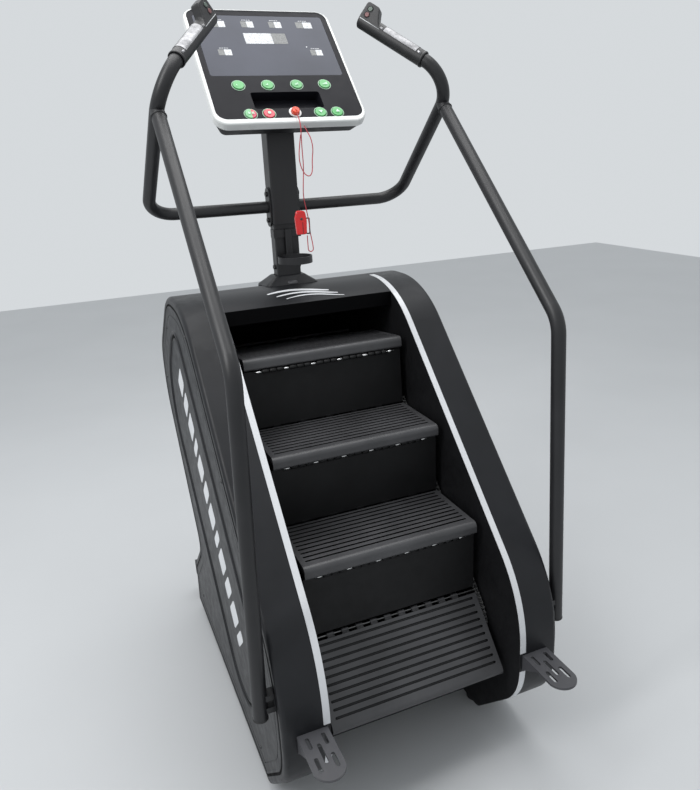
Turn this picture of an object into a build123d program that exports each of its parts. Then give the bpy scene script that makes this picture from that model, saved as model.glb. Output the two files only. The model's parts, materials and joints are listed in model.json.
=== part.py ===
from build123d import *
import os
from math import atan2, cos, degrees, pi, sin, sqrt, tan

# Stair climber, millimetres. X across, user in front at -Y, +Z up.
# The origin is on the floor, in the middle of the machine.

# ---------------------------------------------------------------- driving sizes
INNER_X = 251.7            # inner face of each side housing
OUTER_X = 362.7            # outer face of each side housing
SKIN = 3.0                 # wall of the moulded covers
TRIM_WIDTH = 16.3
TRIM_PROUD = 1.5

# Staircase: treads and risers hinged to each other, carried by two chains.
RISE = 200.0
GOING = 195.8
TREAD_HALF = 232.8
TREAD_DEPTH = 207.0
TREAD_PLATE = 18.0
CHAIN_PITCH = 12.7
SPROCKET_TEETH = 51
STEP_LINKS = 22
STEPS = 8
NOSING_C = (-360.0, 633.0)           # top front edge of the third tread, y and z
NOSE_HINGE = (20.0, -28.0)           # from a tread's top front edge, back and up
BACK_HINGE = (215.8, -12.0)
HINGE_PIN_R = 3.0
HINGE_BORE_R = 3.1
KNUCKLE_R = 6.5
KNUCKLE_WIDTH = 18.0
KNUCKLE_STEP = 19.5
CLUSTER_PITCH = 77.6
RISER_PLATE = 6.0
RISER_HEAD = 9.0
RISER_SHIFT = -1.0
GROOVES = 10
GROOVE_START = 32.0
GROOVE_PITCH = 18.2
GROOVE_WIDTH = 6.0
GROOVE_DEPTH = 4.0
OPEN_PIVOT_GAP = 14.0                # riser edge to hinge axis where the loop is opened

CHAIN_X = (237.0, 247.0)
CHAIN_PLATE = 2.4
ROLLER_R = 4.2
LINK_R = 5.6
SPROCKET_X = (239.7, 244.3)
SHAFT_R = 12.5
BEARING_R = 26.0

TUBE_R = 17.0
GRIP_R = 20.5
MAST_X = 37.0
MAST_Y = (322.0, 366.0)
SLEEVE_X = 41.0
SLEEVE_Y = (310.0, 370.0)

CONSOLE_TILT = 47.5
CONSOLE_FOOT = Vector(0, 168, 1624)   # lower edge of the console's face
CONSOLE_W = 426.4
CONSOLE_H = 428.7
RIM_DEPTH = 22.0

KEY_X = 8.0
KEY_S = 35.0
CORD_R = 1.3

os.makedirs("parts", exist_ok=True)


def save(piece, name):
    piece.label = name
    export_step(piece, f"parts/{name}.step")


def side_plane(x):
    """A plane at this x whose sketch axes are +Y and +Z and whose normal is +X."""
    return Plane(origin=(x, 0, 0), x_dir=(0, 1, 0), z_dir=(1, 0, 0))


def mirrored(piece):
    return mirror(piece, about=Plane.YZ)


def console_plane(depth=0.0, s=0.0, x=0.0):
    """The console's face, moved depth out of it; local axes are X and up the face."""
    tilt = CONSOLE_TILT * pi / 180
    up = Vector(0, cos(tilt), sin(tilt))
    normal = Vector(0, -sin(tilt), cos(tilt))
    origin = CONSOLE_FOOT + up * s + normal * depth + Vector(x, 0, 0)
    return Plane(origin=origin, x_dir=(1, 0, 0), z_dir=normal)


# ------------------------------------------------------------- the stair's loop
CHAIN_R = CHAIN_PITCH / (2 * sin(pi / SPROCKET_TEETH))
STEP_LENGTH = STEP_LINKS * CHAIN_PITCH
STRAIGHT = (STEPS * STEP_LINKS - SPROCKET_TEETH) / 2 * CHAIN_PITCH
LOOP = 2 * STRAIGHT + SPROCKET_TEETH * CHAIN_PITCH
TREAD_LINK = sqrt((BACK_HINGE[0] - NOSE_HINGE[0]) ** 2 + (BACK_HINGE[1] - NOSE_HINGE[1]) ** 2)
TREAD_REST = atan2(BACK_HINGE[1] - NOSE_HINGE[1], BACK_HINGE[0] - NOSE_HINGE[0])
SLOPE = atan2(RISE, GOING)
UP = (cos(SLOPE), sin(SLOPE))
OUT = (-sin(SLOPE), cos(SLOPE))
STEP_C_AT = 483.5                     # third tread's back hinge, down from the upper tangent
BACK_C = (NOSING_C[0] + BACK_HINGE[0], NOSING_C[1] + BACK_HINGE[1])
UPPER_C = (
    BACK_C[0] + STEP_C_AT * UP[0] - CHAIN_R * OUT[0],
    BACK_C[1] + STEP_C_AT * UP[1] - CHAIN_R * OUT[1],
)
LOWER_C = (UPPER_C[0] - STRAIGHT * UP[0], UPPER_C[1] - STRAIGHT * UP[1])
NOSE_C = (NOSING_C[0] + NOSE_HINGE[0], NOSING_C[1] + NOSE_HINGE[1])
BACK_D = (BACK_C[0] - STEP_LENGTH * UP[0], BACK_C[1] - STEP_LENGTH * UP[1])
RISER_LINK = sqrt((BACK_D[0] - NOSE_C[0]) ** 2 + (BACK_D[1] - NOSE_C[1]) ** 2)


def loop_point(s):
    """The chain's centre line, s down the front run from the upper sprocket's tangent."""
    s = s % LOOP
    if s <= STRAIGHT:
        along, out, centre = -s, CHAIN_R, UPPER_C
    elif s <= LOOP / 2:
        turn = (s - STRAIGHT) / CHAIN_R
        along, out, centre = -CHAIN_R * sin(turn), CHAIN_R * cos(turn), LOWER_C
    elif s <= LOOP / 2 + STRAIGHT:
        along, out, centre = s - LOOP / 2, -CHAIN_R, LOWER_C
    else:
        turn = (s - LOOP / 2 - STRAIGHT) / CHAIN_R
        along, out, centre = CHAIN_R * sin(turn), -CHAIN_R * cos(turn), UPPER_C
    return (
        centre[0] + along * UP[0] + out * OUT[0],
        centre[1] + along * UP[1] + out * OUT[1],
    )


def back_hinge(i):
    """Back hinge of step i: 0, 1, 2 are the upper treads, 3 the one turning under."""
    return loop_point(STEP_C_AT + (i - 2) * STEP_LENGTH)


def nose_hinge(i):
    """Nosing hinge of step i, where its tread and its riser meet, outside the chain."""
    p, q = back_hinge(i), back_hinge(i + 1)
    chord = sqrt((q[0] - p[0]) ** 2 + (q[1] - p[1]) ** 2)
    ux, uz = (q[0] - p[0]) / chord, (q[1] - p[1]) / chord
    along = (TREAD_LINK ** 2 - RISER_LINK ** 2 + chord ** 2) / (2 * chord)
    out = sqrt(TREAD_LINK ** 2 - along ** 2)
    return (p[0] + along * ux + out * uz, p[1] + along * uz - out * ux)


def tread_plane(i):
    """Where tread i lies: from its top front edge, back along the tread and up."""
    nose, back = nose_hinge(i), back_hinge(i)
    turn = atan2(back[1] - nose[1], back[0] - nose[0]) - TREAD_REST
    w, h = NOSE_HINGE
    y = nose[0] - w * cos(turn) + h * sin(turn)
    z = nose[1] - w * sin(turn) - h * cos(turn)
    return Plane(origin=(0, y, z), x_dir=(0, cos(turn), sin(turn)), z_dir=(1, 0, 0))


def riser_plane(i):
    """Where the riser under tread i lies: from its nosing hinge down to the next step."""
    nose, back = nose_hinge(i), back_hinge(i + 1)
    turn = atan2(back[1] - nose[1], back[0] - nose[0])
    return Plane(origin=(0, *nose), x_dir=(0, cos(turn), sin(turn)), z_dir=(1, 0, 0))


def cluster_middles():
    return [k * CLUSTER_PITCH for k in range(-2, 3)]


def tread_knuckle_starts():
    """Where a tread's hinge knuckles start along X, two in each of the five clusters."""
    return [m + side * KNUCKLE_STEP - KNUCKLE_WIDTH / 2 for m in cluster_middles() for side in (-1, 1)]


def riser_knuckle_starts():
    return [m - KNUCKLE_WIDTH / 2 for m in cluster_middles()]


def hinge_knuckle(centre, end):
    """A knuckle's section with a short flat arm to the plate that it is on."""
    dy, dz = end[0] - centre[0], end[1] - centre[1]
    with Locations(centre):
        Circle(KNUCKLE_R)
    with Locations(((centre[0] + end[0]) / 2, (centre[1] + end[1]) / 2)):
        Rectangle(sqrt(dy * dy + dz * dz), 7, rotation=degrees(atan2(dz, dy)))


def make_tread():
    """A ribbed tread, back along X and up along Y from its top front edge, across Z."""
    knuckle_planes = [Plane.XY.offset(start) for start in tread_knuckle_starts()]
    with BuildPart() as body:
        with BuildSketch(Plane.XY.offset(-TREAD_HALF)):
            with BuildLine():
                Polyline((TREAD_DEPTH, -TREAD_PLATE), (TREAD_DEPTH, 0), (14, 0))
                ThreePointArc((14, 0), (4.1, -4.1), (0, -14))
                Polyline((0, -14), (0, -26))
                ThreePointArc((0, -26), (1.5, -30), (5, -32))
                Polyline((5, -32), (9, -32), (9, -TREAD_PLATE), (TREAD_DEPTH, -TREAD_PLATE))
            make_face()
        extrude(amount=2 * TREAD_HALF)
        with BuildSketch(Plane(origin=(0, 0, 0), x_dir=(0, 0, 1), z_dir=(0, 1, 0))):
            with Locations(*[(0, GROOVE_START + GROOVE_PITCH * k) for k in range(GROOVES)]):
                SlotOverall(2 * TREAD_HALF - 26, GROOVE_WIDTH)
        extrude(amount=-GROOVE_DEPTH, mode=Mode.SUBTRACT)
        with BuildSketch(*knuckle_planes):
            hinge_knuckle(NOSE_HINGE, (NOSE_HINGE[0] - 4, -TREAD_PLATE + 1))
            hinge_knuckle(BACK_HINGE, (TREAD_DEPTH - 3, -6.0))
        extrude(amount=KNUCKLE_WIDTH)
        with BuildSketch(Plane.XY.offset(-TREAD_HALF)):
            with Locations(NOSE_HINGE, BACK_HINGE):
                Circle(HINGE_BORE_R)
        extrude(amount=2 * TREAD_HALF, mode=Mode.SUBTRACT)
    return body.part


def make_riser(open_foot):
    """A riser panel, down along X from its nosing hinge, its back towards Y, across Z."""
    foot = RISER_LINK - OPEN_PIVOT_GAP
    hinge_planes = [Plane.XY.offset(start) for start in riser_knuckle_starts()]
    clear_planes = [Plane.XY.offset(start - 1) for start in tread_knuckle_starts()]
    ends = [(0, 0)] if open_foot else [(0, 0), (RISER_LINK, 0)]
    with BuildPart() as body:
        with BuildSketch(Plane.XY.offset(-TREAD_HALF)):
            with Locations(((RISER_HEAD + foot) / 2, RISER_SHIFT)):
                Rectangle(foot - RISER_HEAD, RISER_PLATE)
        extrude(amount=2 * TREAD_HALF)
        with BuildSketch(*hinge_planes):
            hinge_knuckle((0, 0), (12, RISER_SHIFT))
            if not open_foot:
                hinge_knuckle((RISER_LINK, 0), (foot - 3, RISER_SHIFT))
        extrude(amount=KNUCKLE_WIDTH)
        with BuildSketch(Plane.XY.offset(-TREAD_HALF)):
            with Locations(*ends):
                Circle(HINGE_BORE_R)
        extrude(amount=2 * TREAD_HALF, mode=Mode.SUBTRACT)
        with BuildSketch(*clear_planes):
            with Locations(*ends):
                Circle(KNUCKLE_R + 2.5)
        extrude(amount=KNUCKLE_WIDTH + 2, mode=Mode.SUBTRACT)
    return body.part


TREAD = make_tread()
RISER = make_riser(open_foot=False)
OPEN_RISER = make_riser(open_foot=True)


def tread(i):
    return TREAD.moved(tread_plane(i).location)


def riser(i, open_foot=False):
    return (OPEN_RISER if open_foot else RISER).moved(riser_plane(i).location)


def cross_rod(point, half_length):
    """A hinge pin or cross rod along X."""
    with BuildPart() as rod:
        with BuildSketch(side_plane(-half_length)):
            with Locations(point):
                Circle(HINGE_PIN_R)
        extrude(amount=2 * half_length)
    return rod.part


def chain_run(first, last, x_low):
    """Roller chain between two link numbers, counted from the fourth step's back hinge."""
    start = STEP_C_AT + STEP_LENGTH
    points = [loop_point(start + k * CHAIN_PITCH) for k in range(first, last + 1)]
    x_high = x_low + CHAIN_X[1] - CHAIN_X[0]
    with BuildPart() as run:
        for x in (x_low, x_high - CHAIN_PLATE):
            with BuildSketch(side_plane(x)):
                with Locations(*points):
                    Circle(LINK_R)
                for p, q in zip(points, points[1:]):
                    turn = degrees(atan2(q[1] - p[1], q[0] - p[0]))
                    with Locations(((p[0] + q[0]) / 2, (p[1] + q[1]) / 2)):
                        Rectangle(CHAIN_PITCH, 1.3 * LINK_R, rotation=turn)
            extrude(amount=CHAIN_PLATE)
        with BuildSketch(side_plane(x_low)):
            with Locations(*points):
                Circle(ROLLER_R)
        extrude(amount=x_high - x_low)
    return run.part


def both_chains(first, last):
    """The same run of both chains, left and right, as two solids."""
    return [chain_run(first, last, CHAIN_X[0]), chain_run(first, last, -CHAIN_X[1])]


def sprocket(centre, first_link, x_low):
    """A toothed disc whose teeth stand between the chain's rollers."""
    root = CHAIN_R - ROLLER_R - 0.6
    roller = loop_point(STEP_C_AT + STEP_LENGTH + first_link * CHAIN_PITCH)
    phase = degrees(atan2(roller[1] - centre[1], roller[0] - centre[0]))
    step = 360 / SPROCKET_TEETH
    with BuildPart() as disc:
        with BuildSketch(side_plane(x_low)):
            with Locations(centre):
                Circle(root)
                with PolarLocations(root + 2.6, SPROCKET_TEETH, start_angle=phase + step / 2):
                    Trapezoid(3.4, 6.4, 85, rotation=-90)
            with Locations(centre):
                Circle(SHAFT_R, mode=Mode.SUBTRACT)
                with PolarLocations(58, 6):
                    Circle(17, mode=Mode.SUBTRACT)
        extrude(amount=SPROCKET_X[1] - SPROCKET_X[0])
    return disc.part


def shaft(centre, x_low, x_high):
    with BuildPart() as bar:
        with BuildSketch(side_plane(x_low)):
            with Locations(centre):
                Circle(SHAFT_R)
        extrude(amount=x_high - x_low)
        chamfer(bar.edges().filter_by(GeomType.CIRCLE), 1.5)
    return bar.part


def group(pieces):
    return Compound(children=list(pieces))


# -------------------------------------------------------------- the staircase
for step_number in range(4):
    save(tread(step_number), f"tread_{step_number + 1}")

save(group(riser(i) for i in (0, 1)), "upper_risers")
save(riser(2, open_foot=True), "lower_riser")
save(riser(3, open_foot=True), "turning_riser")

front_rods = [cross_rod(back_hinge(i), CHAIN_X[0]) for i in (1, 2)]
front_rods += [cross_rod(nose_hinge(i), 222) for i in (0, 1, 2)]
save(group(both_chains(-46, -8) + front_rods), "front_chains")
turn_rods = [cross_rod(back_hinge(3), CHAIN_X[0]), cross_rod(nose_hinge(3), 222)]
save(group(both_chains(-5, 17) + turn_rods), "turning_chains")

lower_pieces = [shaft(LOWER_C, -292, 292)]
lower_pieces += [sprocket(LOWER_C, 6, x) for x in (SPROCKET_X[0], -SPROCKET_X[1])]
save(group(lower_pieces), "lower_shaft")
upper_pieces = [shaft(UPPER_C, -292, 330)]
upper_pieces += [sprocket(UPPER_C, -66, x) for x in (SPROCKET_X[0], -SPROCKET_X[1])]
save(group(upper_pieces), "upper_shaft")

return_treads = [tread(i) for i in (4, 5, 6)]
return_risers = [riser(4), riser(5), riser(6, open_foot=True)]
return_rods = [cross_rod(nose_hinge(i), 222) for i in (4, 5, 6)]
return_rods += [cross_rod(back_hinge(i), CHAIN_X[0]) for i in (5, 6)]
save(group(return_treads + return_risers + both_chains(33, 78) + return_rods), "return_steps")
top_rods = [cross_rod(nose_hinge(7), 222), cross_rod(back_hinge(7), CHAIN_X[0])]
save(group([tread(7), riser(7, open_foot=True)] + both_chains(86, 104) + top_rods), "top_step")


# ------------------------------------------------------------------- housings
COVER_OUTLINE = [
    (-340, 30), (-530, 220), (-530, 489), (139, 1172), (404, 1172),
    (668, 953), (668, 790), (352, 350), (515, 205), (545, 30),
]
COVER_RADII = [40, 180, 320, 320, 250, 150, 200, 50, 60, 12]
LIP_Y = 150.0                # front lip of the bridge between the two housings
BRIDGE_FOOT_Z = 700.0        # where the bridge ends and the rear cover starts
PEG_Z = 340.0
BRACKET_Z = (296.0, 346.0)
PEG_X = 295.0
PEG_WIDTH = 72.0
PEG_LENGTH = 140.0
PEG_PLATE = 6.0
EDGE_R = 12.0
SHAFT_HOLE_R = 34.0
PLATE_X = (262.0, 270.0)     # right side frame plate, inside the housing
BAR = 60.0
BEAM = 44.0                  # upper beam that the mast stands on
BEAM_Y = 345.0
BEAM_Z = 1120.0
RAIL = 40.0                  # square base tubes
RAIL_Z = 54.0
RAIL_X = 290.0
RAIL_Y = (-300.0, 610.0)
FRONT_TUBE_Y = -250.0
FOOT_Y = (-270.0, 580.0)
REAR_TUBE_Y = 430.0
TUBE_WALL = 3.0


def cover_outline(grow=0.0):
    """The side outline of the housings, grown outwards or shrunk, as a flat sketch."""
    with BuildSketch() as outline:
        with BuildLine():
            FilletPolyline(*COVER_OUTLINE, radius=COVER_RADII, close=True)
        make_face()
        if grow:
            offset(amount=grow)
    return outline.sketch


OUTLINE = cover_outline()
OUTLINE_INSIDE = cover_outline(-SKIN)


def make_side_cover():
    """Right housing: an outer wall and a band around it, open on the stair's side."""
    outer_wall = OUTER_X - SKIN
    with BuildPart() as cover:
        with BuildSketch(side_plane(INNER_X + SKIN)):
            add(OUTLINE)
        extrude(amount=OUTER_X - INNER_X - SKIN)
        fillet(cover.faces().sort_by(Axis.X)[-1].edges(), EDGE_R)
        with BuildSketch(side_plane(INNER_X + SKIN)):
            add(OUTLINE_INSIDE)
        extrude(amount=outer_wall - EDGE_R - INNER_X - SKIN, mode=Mode.SUBTRACT)
        with BuildSketch(side_plane(outer_wall - EDGE_R)):
            add(cover_outline(-EDGE_R))
        extrude(amount=EDGE_R, mode=Mode.SUBTRACT)
        for inset, width, depth in ((30, 2.5, 1.0), (52, 2.5, 1.0), (80, 6, 1.5)):
            with BuildSketch(side_plane(OUTER_X)):
                add(cover_outline(-inset))
                add(cover_outline(-inset - width), mode=Mode.SUBTRACT)
            extrude(amount=-depth, mode=Mode.SUBTRACT)
        with Locations((RAIL_X, COVER_OUTLINE[-1][0], RAIL_Z)):
            Box(RAIL + 1, 60, RAIL + 1, mode=Mode.SUBTRACT)
        with Locations((RAIL_X, FOOT_Y[0], 30)):
            Cylinder(16, 20, mode=Mode.SUBTRACT)
    return cover.part


def make_inner_panel():
    """Flat wall between the right housing and the stair, with holes for both shafts."""
    with BuildPart() as panel:
        with BuildSketch(side_plane(INNER_X)):
            add(OUTLINE)
            with Locations(LOWER_C, UPPER_C):
                Circle(SHAFT_HOLE_R, mode=Mode.SUBTRACT)
            with Locations((BEAM_Y, BEAM_Z), (FRONT_TUBE_Y, RAIL_Z), (REAR_TUBE_Y, RAIL_Z)):
                Rectangle(BEAM + 1, BEAM + 1, mode=Mode.SUBTRACT)
        extrude(amount=SKIN)
    return panel.part


def make_trim():
    """The right bright strip along the housing's inner edge, in two lengths at the foot peg."""
    with BuildPart() as trim:
        with BuildSketch(side_plane(INNER_X)):
            add(cover_outline(TRIM_PROUD))
            add(OUTLINE, mode=Mode.SUBTRACT)
            with BuildSketch(mode=Mode.INTERSECT):
                for low_z, high_z in ((130, BRACKET_Z[0] - 4), (BRACKET_Z[1], 1200)):
                    with Locations((-150, (low_z + high_z) / 2)):
                        Rectangle(900, high_z - low_z)
        extrude(amount=TRIM_WIDTH)
    return trim.part


def make_bridge(low_z, high_z, low_y, hole_plane, hole_width, hole_height):
    """A curved sheet between the housings that follows their outline, with one hole."""
    with BuildPart() as sheet:
        with BuildSketch(side_plane(-INNER_X)):
            add(OUTLINE)
            add(OUTLINE_INSIDE, mode=Mode.SUBTRACT)
            with BuildSketch(mode=Mode.INTERSECT):
                with Locations(((low_y + 700) / 2, (low_z + high_z) / 2)):
                    Rectangle(700 - low_y, high_z - low_z)
        extrude(amount=2 * INNER_X)
        with BuildSketch(hole_plane):
            Rectangle(hole_width, hole_height)
        extrude(amount=60, both=True, mode=Mode.SUBTRACT)
    return sheet.part


def make_lip():
    """The turned-down front edge of the bridge."""
    edge_z = 1147.0
    with BuildPart() as lip:
        with BuildSketch(side_plane(-INNER_X)):
            add(OUTLINE)
            with BuildSketch(mode=Mode.INTERSECT):
                with Locations((LIP_Y - SKIN / 2, edge_z - 12)):
                    Rectangle(SKIN, 60)
        extrude(amount=2 * INNER_X)
    return lip.part


def bar_between(p, q):
    """A flat bar's outline between two points, with round ends."""
    turn = degrees(atan2(q[1] - p[1], q[0] - p[0]))
    with Locations(((p[0] + q[0]) / 2, (p[1] + q[1]) / 2)):
        SlotCenterToCenter(sqrt((q[0] - p[0]) ** 2 + (q[1] - p[1]) ** 2), BAR, rotation=turn)


def make_side_frame():
    """Right side frame: a cut plate that carries both shafts, the beam and the base tube."""
    foot_z = RAIL_Z + 12
    with BuildPart() as frame:
        with BuildSketch(side_plane(PLATE_X[0])):
            bar_between((-270, foot_z), LOWER_C)
            bar_between(LOWER_C, UPPER_C)
            bar_between(UPPER_C, (BEAM_Y - 30, BEAM_Z))
            bar_between((320, foot_z), (320, BEAM_Z))
            bar_between((-270, foot_z), (470, foot_z))
            with Locations((BEAM_Y - 10, BEAM_Z - 5)):
                Rectangle(90, 70)
            with Locations(LOWER_C, UPPER_C):
                Circle(52)
            with Locations(LOWER_C, UPPER_C):
                Circle(BEARING_R, mode=Mode.SUBTRACT)
            with Locations((BEAM_Y, BEAM_Z)):
                Rectangle(BEAM, BEAM, mode=Mode.SUBTRACT)
        extrude(amount=PLATE_X[1] - PLATE_X[0])
    return frame.part


def square_tube(plane, width, height, length):
    """An open square tube along the plane's normal."""
    with BuildPart() as tube:
        with BuildSketch(plane):
            RectangleRounded(width, height, 5)
            RectangleRounded(width - 2 * TUBE_WALL, height - 2 * TUBE_WALL, 2, mode=Mode.SUBTRACT)
        extrude(amount=length)
    return tube.part


def plane_along_y(x, y, z):
    return Plane(origin=(x, y, z), x_dir=(1, 0, 0), z_dir=(0, 1, 0))


def plane_along_x(x, y, z):
    return Plane(origin=(x, y, z), x_dir=(0, 1, 0), z_dir=(1, 0, 0))


def make_foot(x, y):
    """A levelling foot: rubber pad, stem and lock nut up to the tube above it."""
    top = RAIL_Z - RAIL / 2
    with BuildPart() as foot:
        with Locations((x, y, 0)):
            Cylinder(27, 10, align=(Align.CENTER, Align.CENTER, Align.MIN))
        chamfer(foot.edges().group_by(Axis.Z)[-1], 1)
        with Locations((x, y, 0)):
            Cylinder(6, top, align=(Align.CENTER, Align.CENTER, Align.MIN))
        with BuildSketch(Plane.XY.offset(top - 8)):
            with Locations((x, y)):
                RegularPolygon(11, 6)
        extrude(amount=8)
    return foot.part


def make_bearing(centre, sign):
    """A flanged bearing housing in the side plate; its bore runs on the shaft."""
    flange_x = PLATE_X[1] if sign > 0 else -PLATE_X[1] - 6
    body_x = PLATE_X[0] - 4 if sign > 0 else -PLATE_X[1] - 12
    with BuildPart() as bearing:
        with BuildSketch(side_plane(body_x)):
            with Locations(centre):
                Circle(BEARING_R)
        extrude(amount=PLATE_X[1] - PLATE_X[0] + 16)
        with BuildSketch(side_plane(flange_x)):
            with Locations(centre):
                RectangleRounded(84, 84, 14)
                with GridLocations(60, 60, 2, 2):
                    Circle(4.5, mode=Mode.SUBTRACT)
        extrude(amount=6)
        with BuildSketch(side_plane(body_x)):
            with Locations(centre):
                Circle(SHAFT_R + 0.05)
        extrude(amount=PLATE_X[1] - PLATE_X[0] + 16, mode=Mode.SUBTRACT)
    return bearing.part


def make_motor():
    """Disc-shaped brake motor on the upper shaft, bolted inside the right housing."""
    with BuildPart() as motor:
        with BuildSketch(side_plane(292)):
            with Locations(UPPER_C):
                Circle(88)
        extrude(amount=50)
        fillet(motor.edges().filter_by(GeomType.CIRCLE), 5)
        with BuildSketch(side_plane(282)):
            with Locations(UPPER_C):
                Circle(60)
                with PolarLocations(74, 4, start_angle=45):
                    Circle(7)
        extrude(amount=10)
        with BuildSketch(side_plane(282)):
            with Locations(UPPER_C):
                Circle(SHAFT_R + 0.05)
        extrude(amount=60, mode=Mode.SUBTRACT)
        with BuildSketch(side_plane(342)):
            with Locations(UPPER_C):
                with PolarLocations(60, 18):
                    SlotOverall(30, 5)
        extrude(amount=-3, mode=Mode.SUBTRACT)
    return motor.part


# ------------------------------------------------------- housings, frame, drive
SIDE_COVER = make_side_cover()
save(SIDE_COVER, "side_cover_right")
save(mirrored(SIDE_COVER), "side_cover_left")
INNER_PANEL = make_inner_panel()
save(group([INNER_PANEL, mirrored(INNER_PANEL)]), "inner_panels")
TRIM = make_trim()
save(group(list(TRIM.solids()) + list(mirrored(TRIM).solids())), "trim_strips")

POST_MID_Y = (MAST_Y[0] + MAST_Y[1]) / 2
POST_PLANE = Plane(origin=(0, POST_MID_Y, 1170))
POST_HOLE = (2 * MAST_X + 2, MAST_Y[1] - MAST_Y[0] + 2)
save(make_bridge(BRIDGE_FOOT_Z, 1180, LIP_Y, POST_PLANE, *POST_HOLE) + make_lip(), "bridge_cover")

INLET_PLANE = Plane(origin=(-150, 530.2, 118), x_dir=(-1, 0, 0), z_dir=(0, 175, 30))
INLET_BODY = (60.0, 40.0)
INLET_HOLE = (INLET_BODY[0] + 1, INLET_BODY[1] + 1)
save(make_bridge(33, BRIDGE_FOOT_Z, 300, INLET_PLANE, *INLET_HOLE), "rear_cover")

SIDE_FRAME = make_side_frame()
save(group([SIDE_FRAME, mirrored(SIDE_FRAME)]), "side_frames")

STABILISER_Y = (610.0, 670.0)
STABILISER_Z = (60.0, 118.0)
STABILISER_X = 345.0
WHEEL_R = 25.0
WHEEL_Y = 643.0
WHEEL_Z = 28.0
WHEEL_X = (316.0, 336.0)

BASE_TUBE = square_tube(plane_along_y(RAIL_X, RAIL_Y[0], RAIL_Z), RAIL, RAIL, RAIL_Y[1] - RAIL_Y[0])
FRONT_TUBE = square_tube(plane_along_x(-PLATE_X[0], FRONT_TUBE_Y, RAIL_Z), RAIL, RAIL, 2 * PLATE_X[0])
REAR_TUBE = square_tube(plane_along_x(-PLATE_X[0], REAR_TUBE_Y, RAIL_Z), RAIL, RAIL, 2 * PLATE_X[0])
with BuildPart() as stabiliser:
    with BuildSketch(plane_along_x(-STABILISER_X, sum(STABILISER_Y) / 2, sum(STABILISER_Z) / 2)):
        RectangleRounded(STABILISER_Y[1] - STABILISER_Y[0], STABILISER_Z[1] - STABILISER_Z[0], 5)
    extrude(amount=2 * STABILISER_X)
    with BuildSketch(plane_along_x(-STABILISER_X, sum(STABILISER_Y) / 2, sum(STABILISER_Z) / 2)):
        Rectangle(50, 48)
    extrude(amount=2 * STABILISER_X, mode=Mode.SUBTRACT)
    for x in (WHEEL_X[0] - 6, WHEEL_X[1] + 2, -WHEEL_X[0] + 2, -WHEEL_X[1] - 6):
        with BuildSketch(side_plane(x)):
            with Locations((WHEEL_Y, 41)):
                RectangleRounded(30, 44, 10)
            with Locations((WHEEL_Y, WHEEL_Z)):
                Circle(5.05, mode=Mode.SUBTRACT)
        extrude(amount=4)
save(group([BASE_TUBE, mirrored(BASE_TUBE), FRONT_TUBE, REAR_TUBE, stabiliser.part]), "base_frame")

with BuildPart() as wheel:
    with BuildSketch(side_plane(WHEEL_X[0])):
        with Locations((WHEEL_Y, WHEEL_Z)):
            Circle(WHEEL_R)
    extrude(amount=WHEEL_X[1] - WHEEL_X[0])
    fillet(wheel.edges().filter_by(GeomType.CIRCLE), 3)
    with BuildSketch(side_plane(WHEEL_X[0] - 9)):
        with Locations((WHEEL_Y, WHEEL_Z)):
            Circle(5)
    extrude(amount=WHEEL_X[1] - WHEEL_X[0] + 18)
save(group([wheel.part, mirrored(wheel.part)]), "transport_wheels")

FOOT_PLACES = [(x, y) for x in (-RAIL_X, RAIL_X) for y in FOOT_Y]
save(group(make_foot(x, y) for x, y in FOOT_PLACES), "levelling_feet")
save(
    group(make_bearing(c, sign) for c in (LOWER_C, UPPER_C) for sign in (-1, 1)),
    "shaft_bearings",
)
save(make_motor(), "brake_motor")

# ------------------------------------------------------------------ power inlet
with BuildPart() as inlet:
    with BuildSketch(INLET_PLANE.offset(0.3)):
        RectangleRounded(74, 54, 5)
    extrude(amount=2.7)
    with BuildSketch(INLET_PLANE.offset(0.3)):
        Rectangle(INLET_BODY[0], INLET_BODY[1])
    extrude(amount=-30)
    with BuildSketch(INLET_PLANE.offset(3)):
        with Locations((-13, 0)):
            RectangleRounded(27, 20, 4)
    extrude(amount=-18, mode=Mode.SUBTRACT)
    with BuildSketch(INLET_PLANE.offset(-16)):
        with Locations((-20, -2), (-13, 3), (-6, -2)):
            Rectangle(2, 5)
    extrude(amount=14)
    with BuildSketch(INLET_PLANE.offset(3)):
        with Locations((18, 0)):
            Rectangle(14.4, 22.4)
    extrude(amount=-20, mode=Mode.SUBTRACT)
save(inlet.part, "power_inlet")

with BuildPart() as rocker:
    with BuildSketch(Plane(origin=INLET_PLANE.from_local_coords((11, 0, 0)), x_dir=INLET_PLANE.y_dir,
                           z_dir=INLET_PLANE.x_dir)):
        with Locations((0, 0)):
            Circle(8.5)
        with BuildLine():
            Polyline((-9, 0), (-9, 5), (0, 1.5), (9, 3.5), (9, 0), (-9, 0))
        make_face()
    extrude(amount=14)
save(rocker.part, "power_switch")

# ------------------------------------------------------------------------- mast
SLEEVE_MID_Y = (SLEEVE_Y[0] + SLEEVE_Y[1]) / 2
SLEEVE_FOOT = 1350.0
SLEEVE_WALL = 3.5
POST_TOP = 1600.0
BACK_DEPTH = 62.0

BEAM_HALF = 352.0
BEAM_TOP = BEAM_Z + BEAM / 2
CROSS_BEAM = square_tube(plane_along_x(-BEAM_HALF, BEAM_Y, BEAM_Z), BEAM, BEAM, 2 * BEAM_HALF)
POST_FOOT = Plane(origin=(0, POST_MID_Y, BEAM_TOP))
MAST_POST = square_tube(POST_FOOT, 2 * MAST_X, MAST_Y[1] - MAST_Y[0], POST_TOP - BEAM_TOP)
save(group([CROSS_BEAM, MAST_POST]), "mast_post")

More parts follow.
